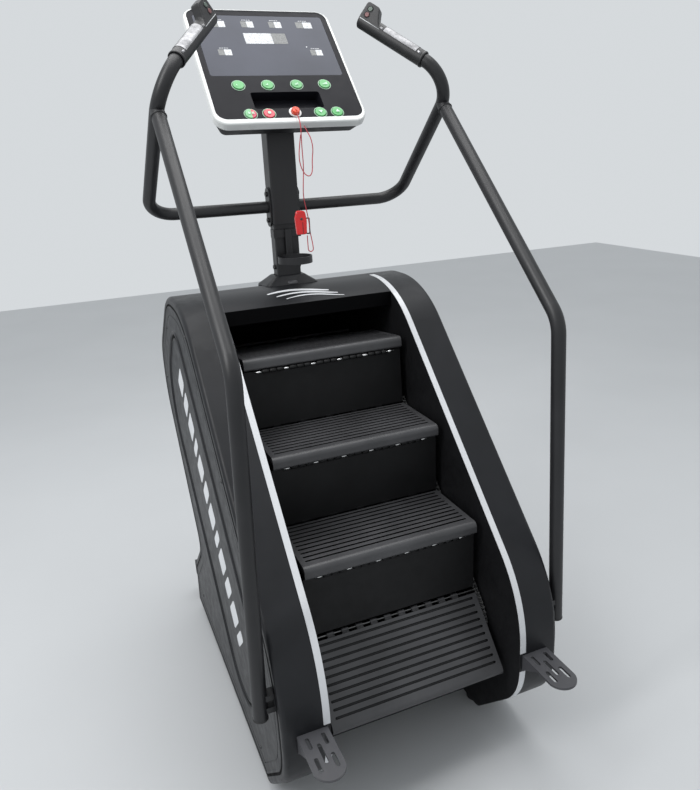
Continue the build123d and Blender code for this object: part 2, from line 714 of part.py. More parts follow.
with BuildPart() as sleeve:
    with BuildSketch(Plane.XY.offset(SLEEVE_FOOT)):
        with Locations((0, SLEEVE_MID_Y)):
            RectangleRounded(2 * SLEEVE_X, SLEEVE_Y[1] - SLEEVE_Y[0], 6)
    extrude(amount=520)
    with BuildSketch(Plane.XY.offset(SLEEVE_FOOT)):
        with Locations((0, SLEEVE_MID_Y)):
            RectangleRounded(
                2 * (SLEEVE_X - SLEEVE_WALL), SLEEVE_Y[1] - SLEEVE_Y[0] - 2 * SLEEVE_WALL, 4
            )
    extrude(amount=520, mode=Mode.SUBTRACT)
    split(bisect_by=console_plane(-BACK_DEPTH), keep=Keep.BOTTOM)
save(sleeve.part, "mast_sleeve")

with BuildPart() as boot:
    with BuildSketch(Plane.XY.offset(1140)):
        with Locations((0, POST_MID_Y)):
            RectangleRounded(178, 112, 20)
    with BuildSketch(Plane.XY.offset(1172)):
        with Locations((0, POST_MID_Y)):
            RectangleRounded(168, 104, 18)
    with BuildSketch(Plane.XY.offset(1198)):
        with Locations((0, POST_MID_Y)):
            RectangleRounded(92, 60, 8)
    loft(ruled=True)
    with BuildSketch(Plane.XY.offset(1130)):
        with Locations((0, POST_MID_Y)):
            RectangleRounded(2 * MAST_X + 0.6, MAST_Y[1] - MAST_Y[0] + 0.6, 5)
    extrude(amount=90, mode=Mode.SUBTRACT)
    with BuildSketch(side_plane(-120)):
        add(OUTLINE)
    extrude(amount=240, mode=Mode.SUBTRACT)
save(boot.part, "mast_boot")

# -------------------------------------------------------- handrails, handlebars
BAR_Y = 345.0
BAR_Z = 1398.5
FLANGE_X = SLEEVE_X + 5.0
GRIP_START = Vector(317.8, 43.5, 1760.5)
GRIP_END = Vector(200.2, 172.1, 1872.2)
GRIP_AXIS = (GRIP_END - GRIP_START).normalized()
LOBE_HINT = Vector(0.5745, -0.17, 0.8007)
LOBE = (LOBE_HINT - GRIP_AXIS * LOBE_HINT.dot(GRIP_AXIS)).normalized()
GRIP_PLANE = Plane(origin=GRIP_START, z_dir=GRIP_AXIS, x_dir=LOBE)
HEAD_LENGTH = 207.0
HEAD_TOP = 20.0
HEAD_DEPTH = 27.0
HEAD_REACH = 46.0
JOINT = Vector(374, 49.5, 1656)
BAR_ROUTE = [
    (FLANGE_X, BAR_Y, BAR_Z),
    (387, 359, BAR_Z),
    tuple(GRIP_START - GRIP_AXIS * 95),
    tuple(GRIP_START + GRIP_AXIS * 127),
]
BAR_BENDS = [70, 84]
RAIL_ROUTE = [(395, -481, 378), (374, -470, 1163), tuple(JOINT)]
RAIL_BEND = 80


def tube_along(route, radii):
    """A round bar swept along straight runs with rounded corners."""
    with BuildPart() as bar:
        with BuildLine() as path:
            FilletPolyline(*route, radius=radii)
        with BuildSketch(Plane(origin=path.line @ 0, z_dir=path.line % 0)):
            Circle(TUBE_R)
        sweep(path=path.line)
    return bar.part


def make_handlebar():
    """Right handlebar: from a flange on the mast out, forward and up into the grip."""
    with BuildPart() as bar:
        add(tube_along(BAR_ROUTE, BAR_BENDS))
        with BuildSketch(side_plane(SLEEVE_X)):
            with Locations((BAR_Y - 5, BAR_Z)):
                SlotOverall(112, 40, rotation=90)
        extrude(amount=FLANGE_X - SLEEVE_X)
    return bar.part


def make_handrail(handlebar):
    """Right handrail: a post beside the housing, bent back up to meet the handlebar."""
    with BuildPart() as rail:
        add(tube_along(RAIL_ROUTE, [RAIL_BEND]))
        for z in (398, 430):
            with Locations(((OUTER_X + 385) / 2, -480, z)):
                Box(385 - OUTER_X, 26, 14)
    return rail.part - handlebar


def head_plane(height=0.0):
    """Plane through the grip head: X out along its lobe, Y along the grip, Z out of its top."""
    normal = LOBE.cross(GRIP_AXIS)
    return Plane(origin=GRIP_START + normal * height, x_dir=LOBE, z_dir=normal)


BUTTON_PLACES = [(15, 190), (31, 190)]


def make_grip():
    """Right grip sleeve with its head, whose lobe carries two round buttons."""
    with BuildPart() as grip:
        with BuildSketch(GRIP_PLANE):
            Circle(GRIP_R)
        extrude(amount=HEAD_LENGTH)
        fillet(grip.edges().filter_by(GeomType.CIRCLE), 4)
        with BuildSketch(head_plane(HEAD_TOP - HEAD_DEPTH)):
            with BuildLine():
                FilletPolyline(
                    (0, 142), (20, 156), (HEAD_REACH, 170), (HEAD_REACH, HEAD_LENGTH), (0, HEAD_LENGTH),
                    radius=[10, 9, 7],
                )
                Line((0, HEAD_LENGTH), (0, 142))
            make_face()
        extrude(amount=HEAD_DEPTH)
        for place in BUTTON_PLACES:
            with BuildSketch(head_plane(HEAD_TOP)):
                with Locations(place):
                    Circle(6.4)
            extrude(amount=-5, mode=Mode.SUBTRACT)
        with BuildSketch(GRIP_PLANE):
            Circle(TUBE_R)
        extrude(amount=127.5, mode=Mode.SUBTRACT)
    return grip.part


def make_grip_button(place):
    with BuildPart() as button:
        with BuildSketch(head_plane(HEAD_TOP - 3.5)):
            with Locations(place):
                Circle(6)
        extrude(amount=5.0)
        fillet(button.edges().filter_by(GeomType.CIRCLE).sort_by(Axis.Z)[-1], 1)
    return button.part


def make_pulse_plates():
    """Thin metal contact shell around the far half of the right grip."""
    with BuildPart() as plates:
        with BuildSketch(GRIP_PLANE.offset(24)):
            Circle(GRIP_R + 0.8)
            Circle(GRIP_R, mode=Mode.SUBTRACT)
            with BuildSketch(mode=Mode.INTERSECT):
                with Locations((GRIP_R + 2, 0)):
                    Rectangle(2 * GRIP_R, 60)
        extrude(amount=104)
    return plates.part


HANDLEBAR = make_handlebar()
GRIP = make_grip()
save(HANDLEBAR, "handlebar_right")
save(mirrored(HANDLEBAR), "handlebar_left")
HANDRAIL = make_handrail(HANDLEBAR)
save(HANDRAIL, "handrail_right")
save(mirrored(HANDRAIL), "handrail_left")
save(GRIP, "grip_right")
save(mirrored(GRIP), "grip_left")
PULSE = make_pulse_plates()
save(group(list(PULSE.solids()) + list(mirrored(PULSE).solids())), "pulse_plates")
for button_name, button_place in zip(("up", "down"), BUTTON_PLACES):
    button = make_grip_button(button_place)
    save(button, f"grip_button_right_{button_name}")
    save(mirrored(button), f"grip_button_left_{button_name}")

# ---------------------------------------------------------------------- console
FACE_S = 220.0
FACE_SIZE = (410.0, 408.0)
FACE_FRONT = -1.5
FACE_BACK = -6.5
DISPLAY_S = 287.5
DISPLAY_SIZE = (378.0, 233.0)
LEVEL_S = 136.0
LEVEL_X = [-122.0, -41.0, 41.0, 122.0]
ROW_S = 33.5
ROW_X = {"start_pause": -114.0, "stop": -64.0, "speed_down": 80.0, "speed_up": 129.0}
BUTTON_R = 15.0
BUTTON_HOLE_R = 15.4
TRAY_S = 80.5
TRAY_WALL = 1.5
TRAY_SIZE = (194.0, 59.0)
TRAY_DEPTH = 30.0

with BuildPart() as rim:
    with BuildSketch(console_plane(0, CONSOLE_H / 2)):
        RectangleRounded(CONSOLE_W, CONSOLE_H, 38)
    extrude(amount=-RIM_DEPTH)
    fillet(rim.faces().sort_by(lambda f: console_plane().to_local_coords(f.center()).Z)[-1].edges(), 5)
    with BuildSketch(console_plane(0, FACE_S)):
        RectangleRounded(FACE_SIZE[0], FACE_SIZE[1], 29)
    extrude(amount=-RIM_DEPTH, mode=Mode.SUBTRACT)
with BuildPart() as key_ring:
    with BuildSketch(console_plane(FACE_FRONT, KEY_S, KEY_X)):
        Circle(17)
        Circle(12, mode=Mode.SUBTRACT)
    extrude(amount=2)
save(group([rim.part, key_ring.part]), "console_rim")

with BuildPart() as face:
    with BuildSketch(console_plane(FACE_BACK, FACE_S)):
        RectangleRounded(FACE_SIZE[0], FACE_SIZE[1], 29)
    extrude(amount=FACE_FRONT - FACE_BACK)
    with BuildSketch(console_plane(FACE_BACK, TRAY_S)):
        RectangleRounded(TRAY_SIZE[0] + 2 * TRAY_WALL, TRAY_SIZE[1] + 2 * TRAY_WALL, 8.5)
    extrude(amount=-TRAY_DEPTH)
    with BuildSketch(console_plane(FACE_FRONT, TRAY_S)):
        RectangleRounded(TRAY_SIZE[0], TRAY_SIZE[1], 7)
    extrude(amount=-TRAY_DEPTH, mode=Mode.SUBTRACT)
    with BuildSketch(console_plane(FACE_FRONT, DISPLAY_S)):
        RectangleRounded(DISPLAY_SIZE[0], DISPLAY_SIZE[1], 8)
    extrude(amount=-1.5, mode=Mode.SUBTRACT)
    with BuildSketch(console_plane(FACE_FRONT, 0)):
        with Locations(*[(x, LEVEL_S) for x in LEVEL_X], *[(x, ROW_S) for x in ROW_X.values()]):
            Circle(BUTTON_HOLE_R)
        with Locations((KEY_X, KEY_S)):
            Circle(5.2)
    extrude(amount=FACE_BACK - FACE_FRONT, mode=Mode.SUBTRACT)
save(face.part, "console_face")

with BuildPart() as display:
    with BuildSketch(console_plane(FACE_FRONT - 1.5, DISPLAY_S)):
        RectangleRounded(DISPLAY_SIZE[0] - 0.4, DISPLAY_SIZE[1] - 0.4, 8)
    extrude(amount=1.4)
save(display.part, "display_window")

with BuildPart() as back:
    with BuildSketch(console_plane(-RIM_DEPTH, CONSOLE_H / 2)):
        RectangleRounded(CONSOLE_W - 4, CONSOLE_H - 4, 37)
    extrude(amount=-(BACK_DEPTH - RIM_DEPTH), taper=28)
    with BuildSketch(console_plane(-RIM_DEPTH, CONSOLE_H / 2)):
        RectangleRounded(CONSOLE_W - 10, CONSOLE_H - 10, 34)
    extrude(amount=-(BACK_DEPTH - RIM_DEPTH - 3), taper=28, mode=Mode.SUBTRACT)
save(back.part, "console_back")


def console_button(x, s):
    with BuildPart() as button:
        with BuildSketch(console_plane(FACE_BACK - 1.5, s, x)):
            Circle(BUTTON_R)
        extrude(amount=FACE_FRONT - FACE_BACK + 4.5)
        top = button.faces().sort_by(lambda f: console_plane().to_local_coords(f.center()).Z)[-1]
        fillet(top.edges(), 1.2)
    return button.part


for number, x in enumerate(LEVEL_X):
    save(console_button(x, LEVEL_S), f"level_button_{number + 1}")
for button_name, x in ROW_X.items():
    save(console_button(x, ROW_S), f"{button_name}_button")

with BuildPart() as key:
    with BuildSketch(console_plane(FACE_FRONT + 0.1, KEY_S, KEY_X)):
        Circle(11)
    extrude(amount=12)
    top = key.faces().sort_by(lambda f: console_plane().to_local_coords(f.center()).Z)[-1]
    fillet(top.edges(), 3)
    with BuildSketch(console_plane(FACE_FRONT + 0.1, KEY_S, KEY_X)):
        Circle(5)
    extrude(amount=-9)
save(key.part, "safety_key")

# ---------------------------------------------------------------- bottle holder
RING_Y = 258.0
RING_Z = (1242.0, 1262.0)
with BuildPart() as bottle_holder:
    with BuildSketch(Plane.XY.offset(1310)):
        with Locations((0, MAST_Y[0] + 10)):
            Rectangle(2 * MAST_X + 10, 32)
        with Locations((0, MAST_Y[0] + 20)):
            Rectangle(2 * MAST_X, 40, mode=Mode.SUBTRACT)
    extrude(amount=24)
    with BuildSketch(Plane.XY.offset(RING_Z[0])):
        with Locations((0, RING_Y + 54)):
            RectangleRounded(18, 10, 3)
    extrude(amount=1334 - RING_Z[0])
    with BuildSketch(Plane.XY.offset(RING_Z[0])):
        with Locations((0, RING_Y)):
            Circle(50)
    extrude(amount=RING_Z[1] - RING_Z[0])
    with BuildSketch(Plane.XY.offset(RING_Z[0])):
        with Locations((0, RING_Y)):
            Circle(46.5)
    extrude(amount=RING_Z[1] - RING_Z[0], mode=Mode.SUBTRACT)
save(bottle_holder.part, "bottle_holder")

# -------------------------------------------------------------------- foot pegs
PEG_FRONT = -530.0
PEG_SLOTS = [(0, 66, 56, 9), (-19, 30, 34, 9), (19, 30, 34, 9), (-19, 92, 40, 9), (19, 92, 40, 9)]
with BuildPart() as peg:
    with BuildSketch(Plane.XY.offset(PEG_Z - PEG_PLATE)):
        with Locations((PEG_X, PEG_FRONT - (PEG_LENGTH - PEG_WIDTH / 2) / 2)):
            Rectangle(PEG_WIDTH, PEG_LENGTH - PEG_WIDTH / 2)
        with Locations((PEG_X, PEG_FRONT - PEG_LENGTH + PEG_WIDTH / 2)):
            Circle(PEG_WIDTH / 2)
        for across, out, length, width in PEG_SLOTS:
            with Locations((PEG_X + across, PEG_FRONT - out)):
                SlotOverall(length, width, rotation=90, mode=Mode.SUBTRACT)
    extrude(amount=PEG_PLATE)
    with BuildSketch(plane_along_y(PEG_X, PEG_FRONT, (BRACKET_Z[0] + PEG_Z - PEG_PLATE) / 2)):
        Rectangle(PEG_WIDTH, PEG_Z - PEG_PLATE - BRACKET_Z[0])
    extrude(amount=-5)
    for across in (-PEG_WIDTH / 2, PEG_WIDTH / 2 - 4):
        with BuildSketch(side_plane(PEG_X + across)):
            with BuildLine():
                Polyline(
                    (PEG_FRONT, BRACKET_Z[0]), (PEG_FRONT, PEG_Z - PEG_PLATE),
                    (PEG_FRONT - 60, PEG_Z - PEG_PLATE), (PEG_FRONT, BRACKET_Z[0]),
                )
            make_face()
        extrude(amount=4)
save(group([peg.part, mirrored(peg.part)]), "foot_pegs")

# -------------------------------------------------------------------- fasteners
HEAD_R = 7.0
HEAD_HEIGHT = 5.5


def bolt_head(plane):
    """A low round head with a hex socket, sitting on this plane."""
    with BuildPart() as bolt:
        with BuildSketch(plane):
            Circle(HEAD_R)
        extrude(amount=HEAD_HEIGHT)
        with BuildSketch(plane.offset(HEAD_HEIGHT)):
            RegularPolygon(3.4, 6)
        extrude(amount=-3, mode=Mode.SUBTRACT)
    return bolt.part


def heads_on_side(x, places):
    """Bolt heads on a face that looks towards +X, and their mirror images."""
    right = [bolt_head(Plane(origin=(x, y, z), z_dir=(1, 0, 0))) for y, z in places]
    return right + [mirrored(bolt) for bolt in right]


bolts = heads_on_side(FLANGE_X, [(BAR_Y - 5, BAR_Z - 37), (BAR_Y - 5, BAR_Z + 37)])
bolts += heads_on_side(MAST_X, [(POST_MID_Y, 1222)])
save(group(bolts), "mast_bolts")

# ------------------------------------------------------- lanyard: cords and clip
KEY_CORD_ROUTE = [
    (8, 178.2, 1647.2), (8, 166, 1634), (7, 152, 1617), (5, 147, 1590), (4, 145, 1556),
    (5, 144, 1512), (1, 145, 1468), (-1, 146, 1434), (4, 145, 1404), (9, 143, 1372),
    (11, 144, 1340), (15, 145, 1318), (17.5, 145, 1301), (18, 145, 1290),
    (13.8, 145.5, 1285.8), (7.8, 146, 1285.8), (3.5, 146, 1290), (3.3, 146, 1301),
    (3, 146, 1318), (3.2, 146, 1330),
]
SLACK_ROUTE = [
    (3.5, 147, 1592), (-2, 146, 1565), (-7, 143, 1535), (-3, 142, 1508), (8, 141, 1489),
    (21, 141, 1485), (29, 142, 1499), (30, 144, 1527), (36, 146, 1556), (33, 152, 1584),
    (27, 164, 1601), (25, 174.6, 1614.4),
]


def cord_radii(route):
    """The largest radii that leave each corner most of its shorter run."""
    points = [Vector(*p) for p in route]
    radii = []
    for a, b, c in zip(points, points[1:], points[2:]):
        before, after = b - a, c - b
        half_turn = before.get_angle(after) / 2 * pi / 180
        radii.append(0.45 * min(before.length, after.length) / tan(half_turn))
    return radii


def make_cord(route):
    radii = cord_radii(route)
    with BuildPart() as cord:
        with BuildLine() as path:
            FilletPolyline(*route, radius=radii)
        with BuildSketch(Plane(origin=path.line @ 0, z_dir=path.line % 0)):
            Circle(CORD_R)
        sweep(path=path.line)
    length = path.wire().length
    ratio = cord.part.volume / (pi * CORD_R ** 2 * length)
    print("cord length", round(length, 1), "volume ratio", round(ratio, 4))
    print("corner radii", [round(r, 1) for r in radii])
    return cord.part


save(make_cord(KEY_CORD_ROUTE), "key_cord")
save(make_cord(SLACK_ROUTE), "slack_cord")

with BuildPart() as clip:
    with BuildSketch(Plane(origin=(0, 151, 0), x_dir=(1, 0, 0), z_dir=(0, -1, 0))):
        with BuildLine():
            FilletPolyline(
                (-27, 1334), (1, 1334), (3, 1372), (-1, 1397), (-24, 1399), (-30, 1380),
                radius=[3, 6, 9, 9, 8, 3], close=True,
            )
        make_face()
    extrude(amount=12)
    fillet(clip.edges().filter_by(Plane.XZ), 2)
save(clip.part, "key_clip")
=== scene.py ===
import bpy
import json
import math
from mathutils import Matrix, Vector
from mathutils.bvhtree import BVHTree


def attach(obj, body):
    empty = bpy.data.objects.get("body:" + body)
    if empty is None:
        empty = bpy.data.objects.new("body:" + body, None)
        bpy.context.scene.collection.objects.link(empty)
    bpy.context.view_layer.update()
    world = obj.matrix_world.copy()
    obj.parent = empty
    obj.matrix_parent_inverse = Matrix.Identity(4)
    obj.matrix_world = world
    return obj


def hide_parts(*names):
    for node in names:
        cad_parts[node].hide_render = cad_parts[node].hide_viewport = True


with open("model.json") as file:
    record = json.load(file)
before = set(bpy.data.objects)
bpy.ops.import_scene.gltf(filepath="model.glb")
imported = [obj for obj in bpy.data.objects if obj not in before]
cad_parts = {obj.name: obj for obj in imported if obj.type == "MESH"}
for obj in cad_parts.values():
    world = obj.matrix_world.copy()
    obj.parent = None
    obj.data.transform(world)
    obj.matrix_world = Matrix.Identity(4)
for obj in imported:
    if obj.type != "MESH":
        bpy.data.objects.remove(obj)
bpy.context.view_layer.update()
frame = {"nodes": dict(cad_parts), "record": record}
NODES = frame["nodes"]
SLOT_OF = {s["node"]: s["material_slot"] for s in frame["record"]["subparts"]}


# -------------------------------------------------------------- shaders and finishes
MIX_A, MIX_B = 6, 7         # the colour inputs of a mix node
MIX_RESULT = 2              # and its colour output
MATERIALS = {}              # every finish made below, by name
SHELL_BLACK = (0.011, 0.0115, 0.0135)


class Shader:
    """A material with a Principled shader and short calls for its procedural nodes."""

    def __init__(self, name, colour, rough, metal=0.0):
        self.material = bpy.data.materials.new(name)
        MATERIALS[name] = self.material
        self.material.use_nodes = True
        self.tree = self.material.node_tree
        self.tree.nodes.clear()
        self.out = self.node("ShaderNodeOutputMaterial")
        self.bsdf = self.node("ShaderNodeBsdfPrincipled")
        self.link(self.bsdf, "BSDF", self.out, "Surface")
        self.bsdf.inputs["Base Color"].default_value = (*colour, 1)
        self.bsdf.inputs["Roughness"].default_value = rough
        self.bsdf.inputs["Metallic"].default_value = metal
        self.material.diffuse_color = (*colour, 1)
        self.place = self.node("ShaderNodeNewGeometry")
        self.normal = None

    def node(self, kind, **values):
        made = self.tree.nodes.new(kind)
        for key, value in values.items():
            setattr(made, key, value)
        return made

    def link(self, a, out, b, into):
        self.tree.links.new(a.outputs[out], b.inputs[into])

    def value(self, node, **inputs):
        for key, given in inputs.items():
            node.inputs[key].default_value = given

    def feed(self, source, into):
        """Let a remapped value set one of the shader's inputs."""
        self.link(source, "Result", self.bsdf, into)

    def noise(self, scale, detail=3.0, rough=0.5):
        """Noise in the row frame, per metre."""
        made = self.node("ShaderNodeTexNoise")
        self.value(made, Scale=scale, Detail=detail, Roughness=rough)
        self.link(self.place, "Position", made, "Vector")
        return made

    def remap(self, source, out, low, high, to_low, to_high):
        made = self.node("ShaderNodeMapRange")
        self.value(made, **{"From Min": low, "From Max": high, "To Min": to_low, "To Max": to_high})
        self.link(source, out, made, "Value")
        return made

    def spread(self, noise, to_low, to_high):
        """The usual values of a noise, stretched over a range."""
        return self.remap(noise, "Fac", 0.3, 0.7, to_low, to_high)

    def bump(self, source, out, strength, distance):
        made = self.node("ShaderNodeBump")
        self.value(made, Strength=strength, Distance=distance)
        self.link(source, out, made, "Height")
        if self.normal:
            self.link(self.normal, "Normal", made, "Normal")
        self.normal = made
        self.link(made, "Normal", self.bsdf, "Normal")

    def round_edges(self, radius):
        made = self.node("ShaderNodeBevel", samples=4)
        made.inputs["Radius"].default_value = radius
        self.normal = made
        self.link(made, "Normal", self.bsdf, "Normal")

    def mix_colour(self, factor, a, b):
        """Colour a where the factor is 0 and b where it is 1."""
        made = self.node("ShaderNodeMix", data_type="RGBA")
        self.link(factor, "Result", made, 0)
        made.inputs[MIX_A].default_value = (*a, 1)
        made.inputs[MIX_B].default_value = (*b, 1)
        self.link(made, MIX_RESULT, self.bsdf, "Base Color")
        return made

    def paint_crevice_shade(self, tint, reach):
        """Painted shade in grooves and inner corners, within reach metres of other surfaces: a darker colour
        and dimmer reflections.
        """
        shade = self.node("ShaderNodeAmbientOcclusion", samples=8, only_local=True)
        shade.inputs["Distance"].default_value = reach
        # painted shade: the colour is scaled down where ambient occlusion finds nearby surfaces
        shade_factor = self.remap(shade, "AO", 0.45, 0.93, 0.05, 1.0)
        self.link(tint, MIX_RESULT, shade, "Color")
        scaled = self.node("ShaderNodeMix", data_type="RGBA", blend_type="MULTIPLY")
        scaled.inputs[0].default_value = 1.0
        self.link(tint, MIX_RESULT, scaled, MIX_A)
        self.link(shade_factor, "Result", scaled, MIX_B)
        self.link(scaled, MIX_RESULT, self.bsdf, "Base Color")
        # painted shade on the reflections too: the specular level drops in the same crevices
        shine = self.bsdf.inputs["Specular IOR Level"].default_value
        self.feed(self.remap(shade, "AO", 0.35, 0.9, 0.05, shine), "Specular IOR Level")


def lighter(colour, k):
    return tuple(min(1.0, c * k) for c in colour)


def moulded(name, colour, rough, grain=900, relief=0.15, edge=0.0015, tone=0.25, coat=0.0,
            shine=0.5, shade_reach=0.0):
    """Moulded plastic: fine leather grain, slow tone changes, a rubbed sheen and painted shade in crevices.
    """
    s = Shader(name, colour, rough)
    s.round_edges(edge)
    slow = s.spread(s.noise(7, 4), 0, 1)
    tint = s.mix_colour(slow, lighter(colour, 1 - tone), lighter(colour, 1 + tone))
    s.bsdf.inputs["Specular IOR Level"].default_value = shine
    # painted shade in crevices, out to the given reach
    if shade_reach:
        s.paint_crevice_shade(tint, shade_reach)
    sheen = s.noise(35, 5, 0.6)
    s.feed(s.spread(sheen, rough * 0.85, rough * 1.15), "Roughness")
    s.bump(s.noise(grain, 2), "Fac", relief, 0.0004)
    s.bsdf.inputs["Coat Weight"].default_value = coat


def powder_coat(name, colour, rough):
    """Textured powder coat: small orange peel over a slow drift in gloss."""
    s = Shader(name, colour, rough)
    s.round_edges(0.0015)
    drift = s.noise(12, 4)
    s.mix_colour(s.spread(drift, 0, 1), lighter(colour, 0.8), lighter(colour, 1.25))
    s.feed(s.spread(drift, rough * 0.9, rough * 1.15), "Roughness")
    s.bump(s.noise(650, 3, 0.6), "Fac", 0.25, 0.0004)


def metal(name, colour, rough, grime=0.35):
    """Bare metal with a fine grain and darker grime in patches."""
    s = Shader(name, colour, rough, 1.0)
    s.round_edges(0.0008)
    patches = s.noise(60, 5, 0.65)
    s.mix_colour(s.remap(patches, "Fac", 0.35, 0.65, 0, 1), lighter(colour, 1 - grime), colour)
    s.feed(s.spread(patches, rough * 1.3, rough * 0.8), "Roughness")
    s.bump(s.noise(500, 2), "Fac", 0.08, 0.0003)


def rubber(name, colour, rough=0.7):
    """Soft rubber with dust in patches."""
    s = Shader(name, colour, rough)
    s.round_edges(0.001)
    dust = s.noise(25, 5, 0.7)
    s.mix_colour(s.remap(dust, "Fac", 0.4, 0.75, 0, 1), colour, lighter(colour, 1.8))
    s.bump(s.noise(1400, 2), "Fac", 0.2, 0.0003)


def lit(name, colour, power):
    """A backlit window, a little uneven like light through a diffuser."""
    s = Shader(name, lighter(colour, 0.22), 0.4)
    glow = s.noise(240, 3)
    s.feed(s.remap(glow, "Fac", 0.36, 0.62, power * 0.45, power), "Emission Strength")
    s.bsdf.inputs["Emission Color"].default_value = (*colour, 1)
    s.bump(s.noise(900, 2), "Fac", 0.05, 0.0002)


def bridge_cover_with_painted_shade():
    """Shell plastic whose front lip, which faces the dark well, is painted nearly black with dim
    reflections, as shade.
    """
    lip_shade_colour = (0.0015, 0.0015, 0.0018)
    lip_facing, shell_facing = -0.97, -0.8
    s = Shader("bridge_black_painted_shade", SHELL_BLACK, 0.42)
    s.round_edges(0.002)
    facing = s.node("ShaderNodeSeparateXYZ")
    s.link(s.place, "Normal", facing, "Vector")
    # painted shade: faces turned to the front get the near-black colour
    s.mix_colour(s.remap(facing, "Y", lip_facing, shell_facing, 0, 1), lip_shade_colour, SHELL_BLACK)
    # painted shade on the reflections of the same faces
    s.feed(s.remap(facing, "Y", lip_facing, shell_facing, 0.05, 0.28), "Specular IOR Level")
    s.bump(s.noise(700, 4), "Fac", 0.12, 0.0003)


def split_button():
    """The start and pause button: one half green, the other half red."""
    left_of, right_of = -0.1125, -0.1115
    s = Shader("button_split", (0.1, 0.42, 0.15), 0.35)
    s.round_edges(0.001)
    across = s.node("ShaderNodeSeparateXYZ")
    s.link(s.place, "Position", across, "Vector")
    s.mix_colour(s.remap(across, "X", left_of, right_of, 0, 1), (0.2, 0.5, 0.24), (0.62, 0.06, 0.12))
    s.bump(s.noise(900, 2), "Fac", 0.04, 0.0003)


def button_plastic(name, colour, rough=0.35, coat=0.2):
    moulded(name, colour, rough, grain=900, relief=0.04, edge=0.001, tone=0.08, coat=coat)


def grip_button_plastic(name, colour):
    moulded(name, colour, 0.4, grain=900, relief=0.05, edge=0.0008, tone=0.1, coat=0.2)


def printed(name, colour):
    moulded(name, colour, 0.4, grain=900, relief=0.05, edge=0.0003, tone=0.06)


powder_coat("frame_black", (0.012, 0.012, 0.0135), 0.42)
# painted shade in the shell's crevices, reaching 6 mm
moulded(
    "shell_black", SHELL_BLACK, 0.42,
    grain=700, relief=0.12, edge=0.002, tone=0.2, shine=0.28, shade_reach=0.006,
)
# darker copy of the black shell, as painted shade inside the machine
moulded(
    "interior_black_painted_shade", (0.007, 0.007, 0.008), 0.55,
    grain=700, relief=0.12, edge=0.002, tone=0.2, shine=0.3,
)
# black plastic made darker than the shell, as painted shade under the treads
moulded("riser_black_painted_shade", (0.006, 0.006, 0.0065), 0.5, grain=600, edge=0.001, tone=0.3, shine=0.25)
# painted shade in the treads' grooves, reaching 12 mm
moulded("tread_black", (0.045, 0.045, 0.048), 0.42, grain=500, relief=0.25, tone=0.3, shade_reach=0.012)
moulded("trim_white", (0.62, 0.63, 0.65), 0.3, grain=500, relief=0.03, edge=0.001, tone=0.05, coat=0.4)
metal("chain_steel", (0.2, 0.2, 0.2), 0.4)
# near-black, for the painted shade in the housing creases
moulded("crease_black_painted_shade", (0.002, 0.002, 0.002), 0.7, grain=500, relief=0.05, edge=0.0005, tone=0.2, shine=0.05)
bridge_cover_with_painted_shade()
metal("drive_steel", (0.4, 0.4, 0.41), 0.35)
metal("bright_steel", (0.8, 0.8, 0.8), 0.25, grime=0.2)
metal("motor_alloy", (0.45, 0.45, 0.46), 0.5)
powder_coat("bearing_iron", (0.1, 0.1, 0.1), 0.6)
moulded("console_black", (0.006, 0.006, 0.007), 0.5, relief=0.2, edge=0.002, shine=0.2)
moulded("face_black", (0.010, 0.010, 0.013), 0.4, grain=1200, relief=0.05, tone=0.15, shine=0.1)
moulded("rim_white", (0.68, 0.69, 0.68), 0.3, relief=0.03, edge=0.002, tone=0.04, coat=0.3)
moulded("display_grey", (0.052, 0.056, 0.074), 0.2, grain=300, relief=0.0, edge=0.001, tone=0.12, shine=0.2)
button_plastic("button_green", (0.085, 0.37, 0.115))
button_plastic("button_red", (0.6, 0.05, 0.08))
button_plastic("key_red", (0.7, 0.06, 0.02))
button_plastic("clip_red", (0.65, 0.01, 0.012), rough=0.3, coat=0.3)
rubber("cord_red", (0.35, 0.03, 0.04), 0.6)
rubber("grip_grey", (0.012, 0.012, 0.013), 0.45)
grip_button_plastic("grip_button_a", (0.16, 0.06, 0.06))
grip_button_plastic("grip_button_b", (0.09, 0.12, 0.1))
metal("pulse_chrome", (0.32, 0.32, 0.33), 0.4, grime=0.4)
# painted shade on the pegs' slot walls, reaching 12 mm
moulded("peg_grey", (0.06, 0.06, 0.066), 0.42, grain=1500, relief=0.2, edge=0.0012, tone=0.15, shade_reach=0.012)
metal("bolt_chrome", (0.12, 0.12, 0.12), 0.35)
rubber("foot_rubber", (0.02, 0.02, 0.02))
rubber("wheel_rubber", (0.025, 0.025, 0.025))
split_button()
rubber("cord_dark", (0.03, 0.02, 0.02), 0.6)
printed("print_white", (0.75, 0.76, 0.78))
printed("print_grey", (0.45, 0.46, 0.47))
printed("print_green", (0.28, 0.46, 0.31))
printed("print_pale", (0.55, 0.8, 0.6))
lit("led_white", (0.85, 0.88, 0.92), 0.8)
lit("led_dim", (0.3, 0.31, 0.31), 0.5)
moulded("inlet_black", (0.02, 0.02, 0.02), 0.4)
moulded("switch_red", (0.5, 0.02, 0.02), 0.3)

# Nodes that look unlike the finish their slot names: risers and inner panels get darker blacks and the
# bridge cover a near-black lip, all as painted shade.
OTHER_FINISH = {
    "upper_risers": "riser_black_painted_shade", "lower_riser": "riser_black_painted_shade", "turning_riser": "riser_black_painted_shade",
    "inner_panels": "interior_black_painted_shade", "start_pause_button": "button_split", "bridge_cover": "bridge_black_painted_shade",
}
for name, node in NODES.items():
    node.data.materials.clear()
    node.data.materials.append(MATERIALS[OTHER_FINISH.get(name, SLOT_OF[name])])

# ------------------------------------------------------------------------- camera
CAMERA_AT = Vector((-0.6487, -1.7452, 1.5558))
YAW, PITCH, ROLL = 0.3906, 0.3184, -0.0481
SENSOR_WIDTH = 36
LENS = 32.650633
SHIFT_X, SHIFT_Y = -0.00911392, -0.01544304


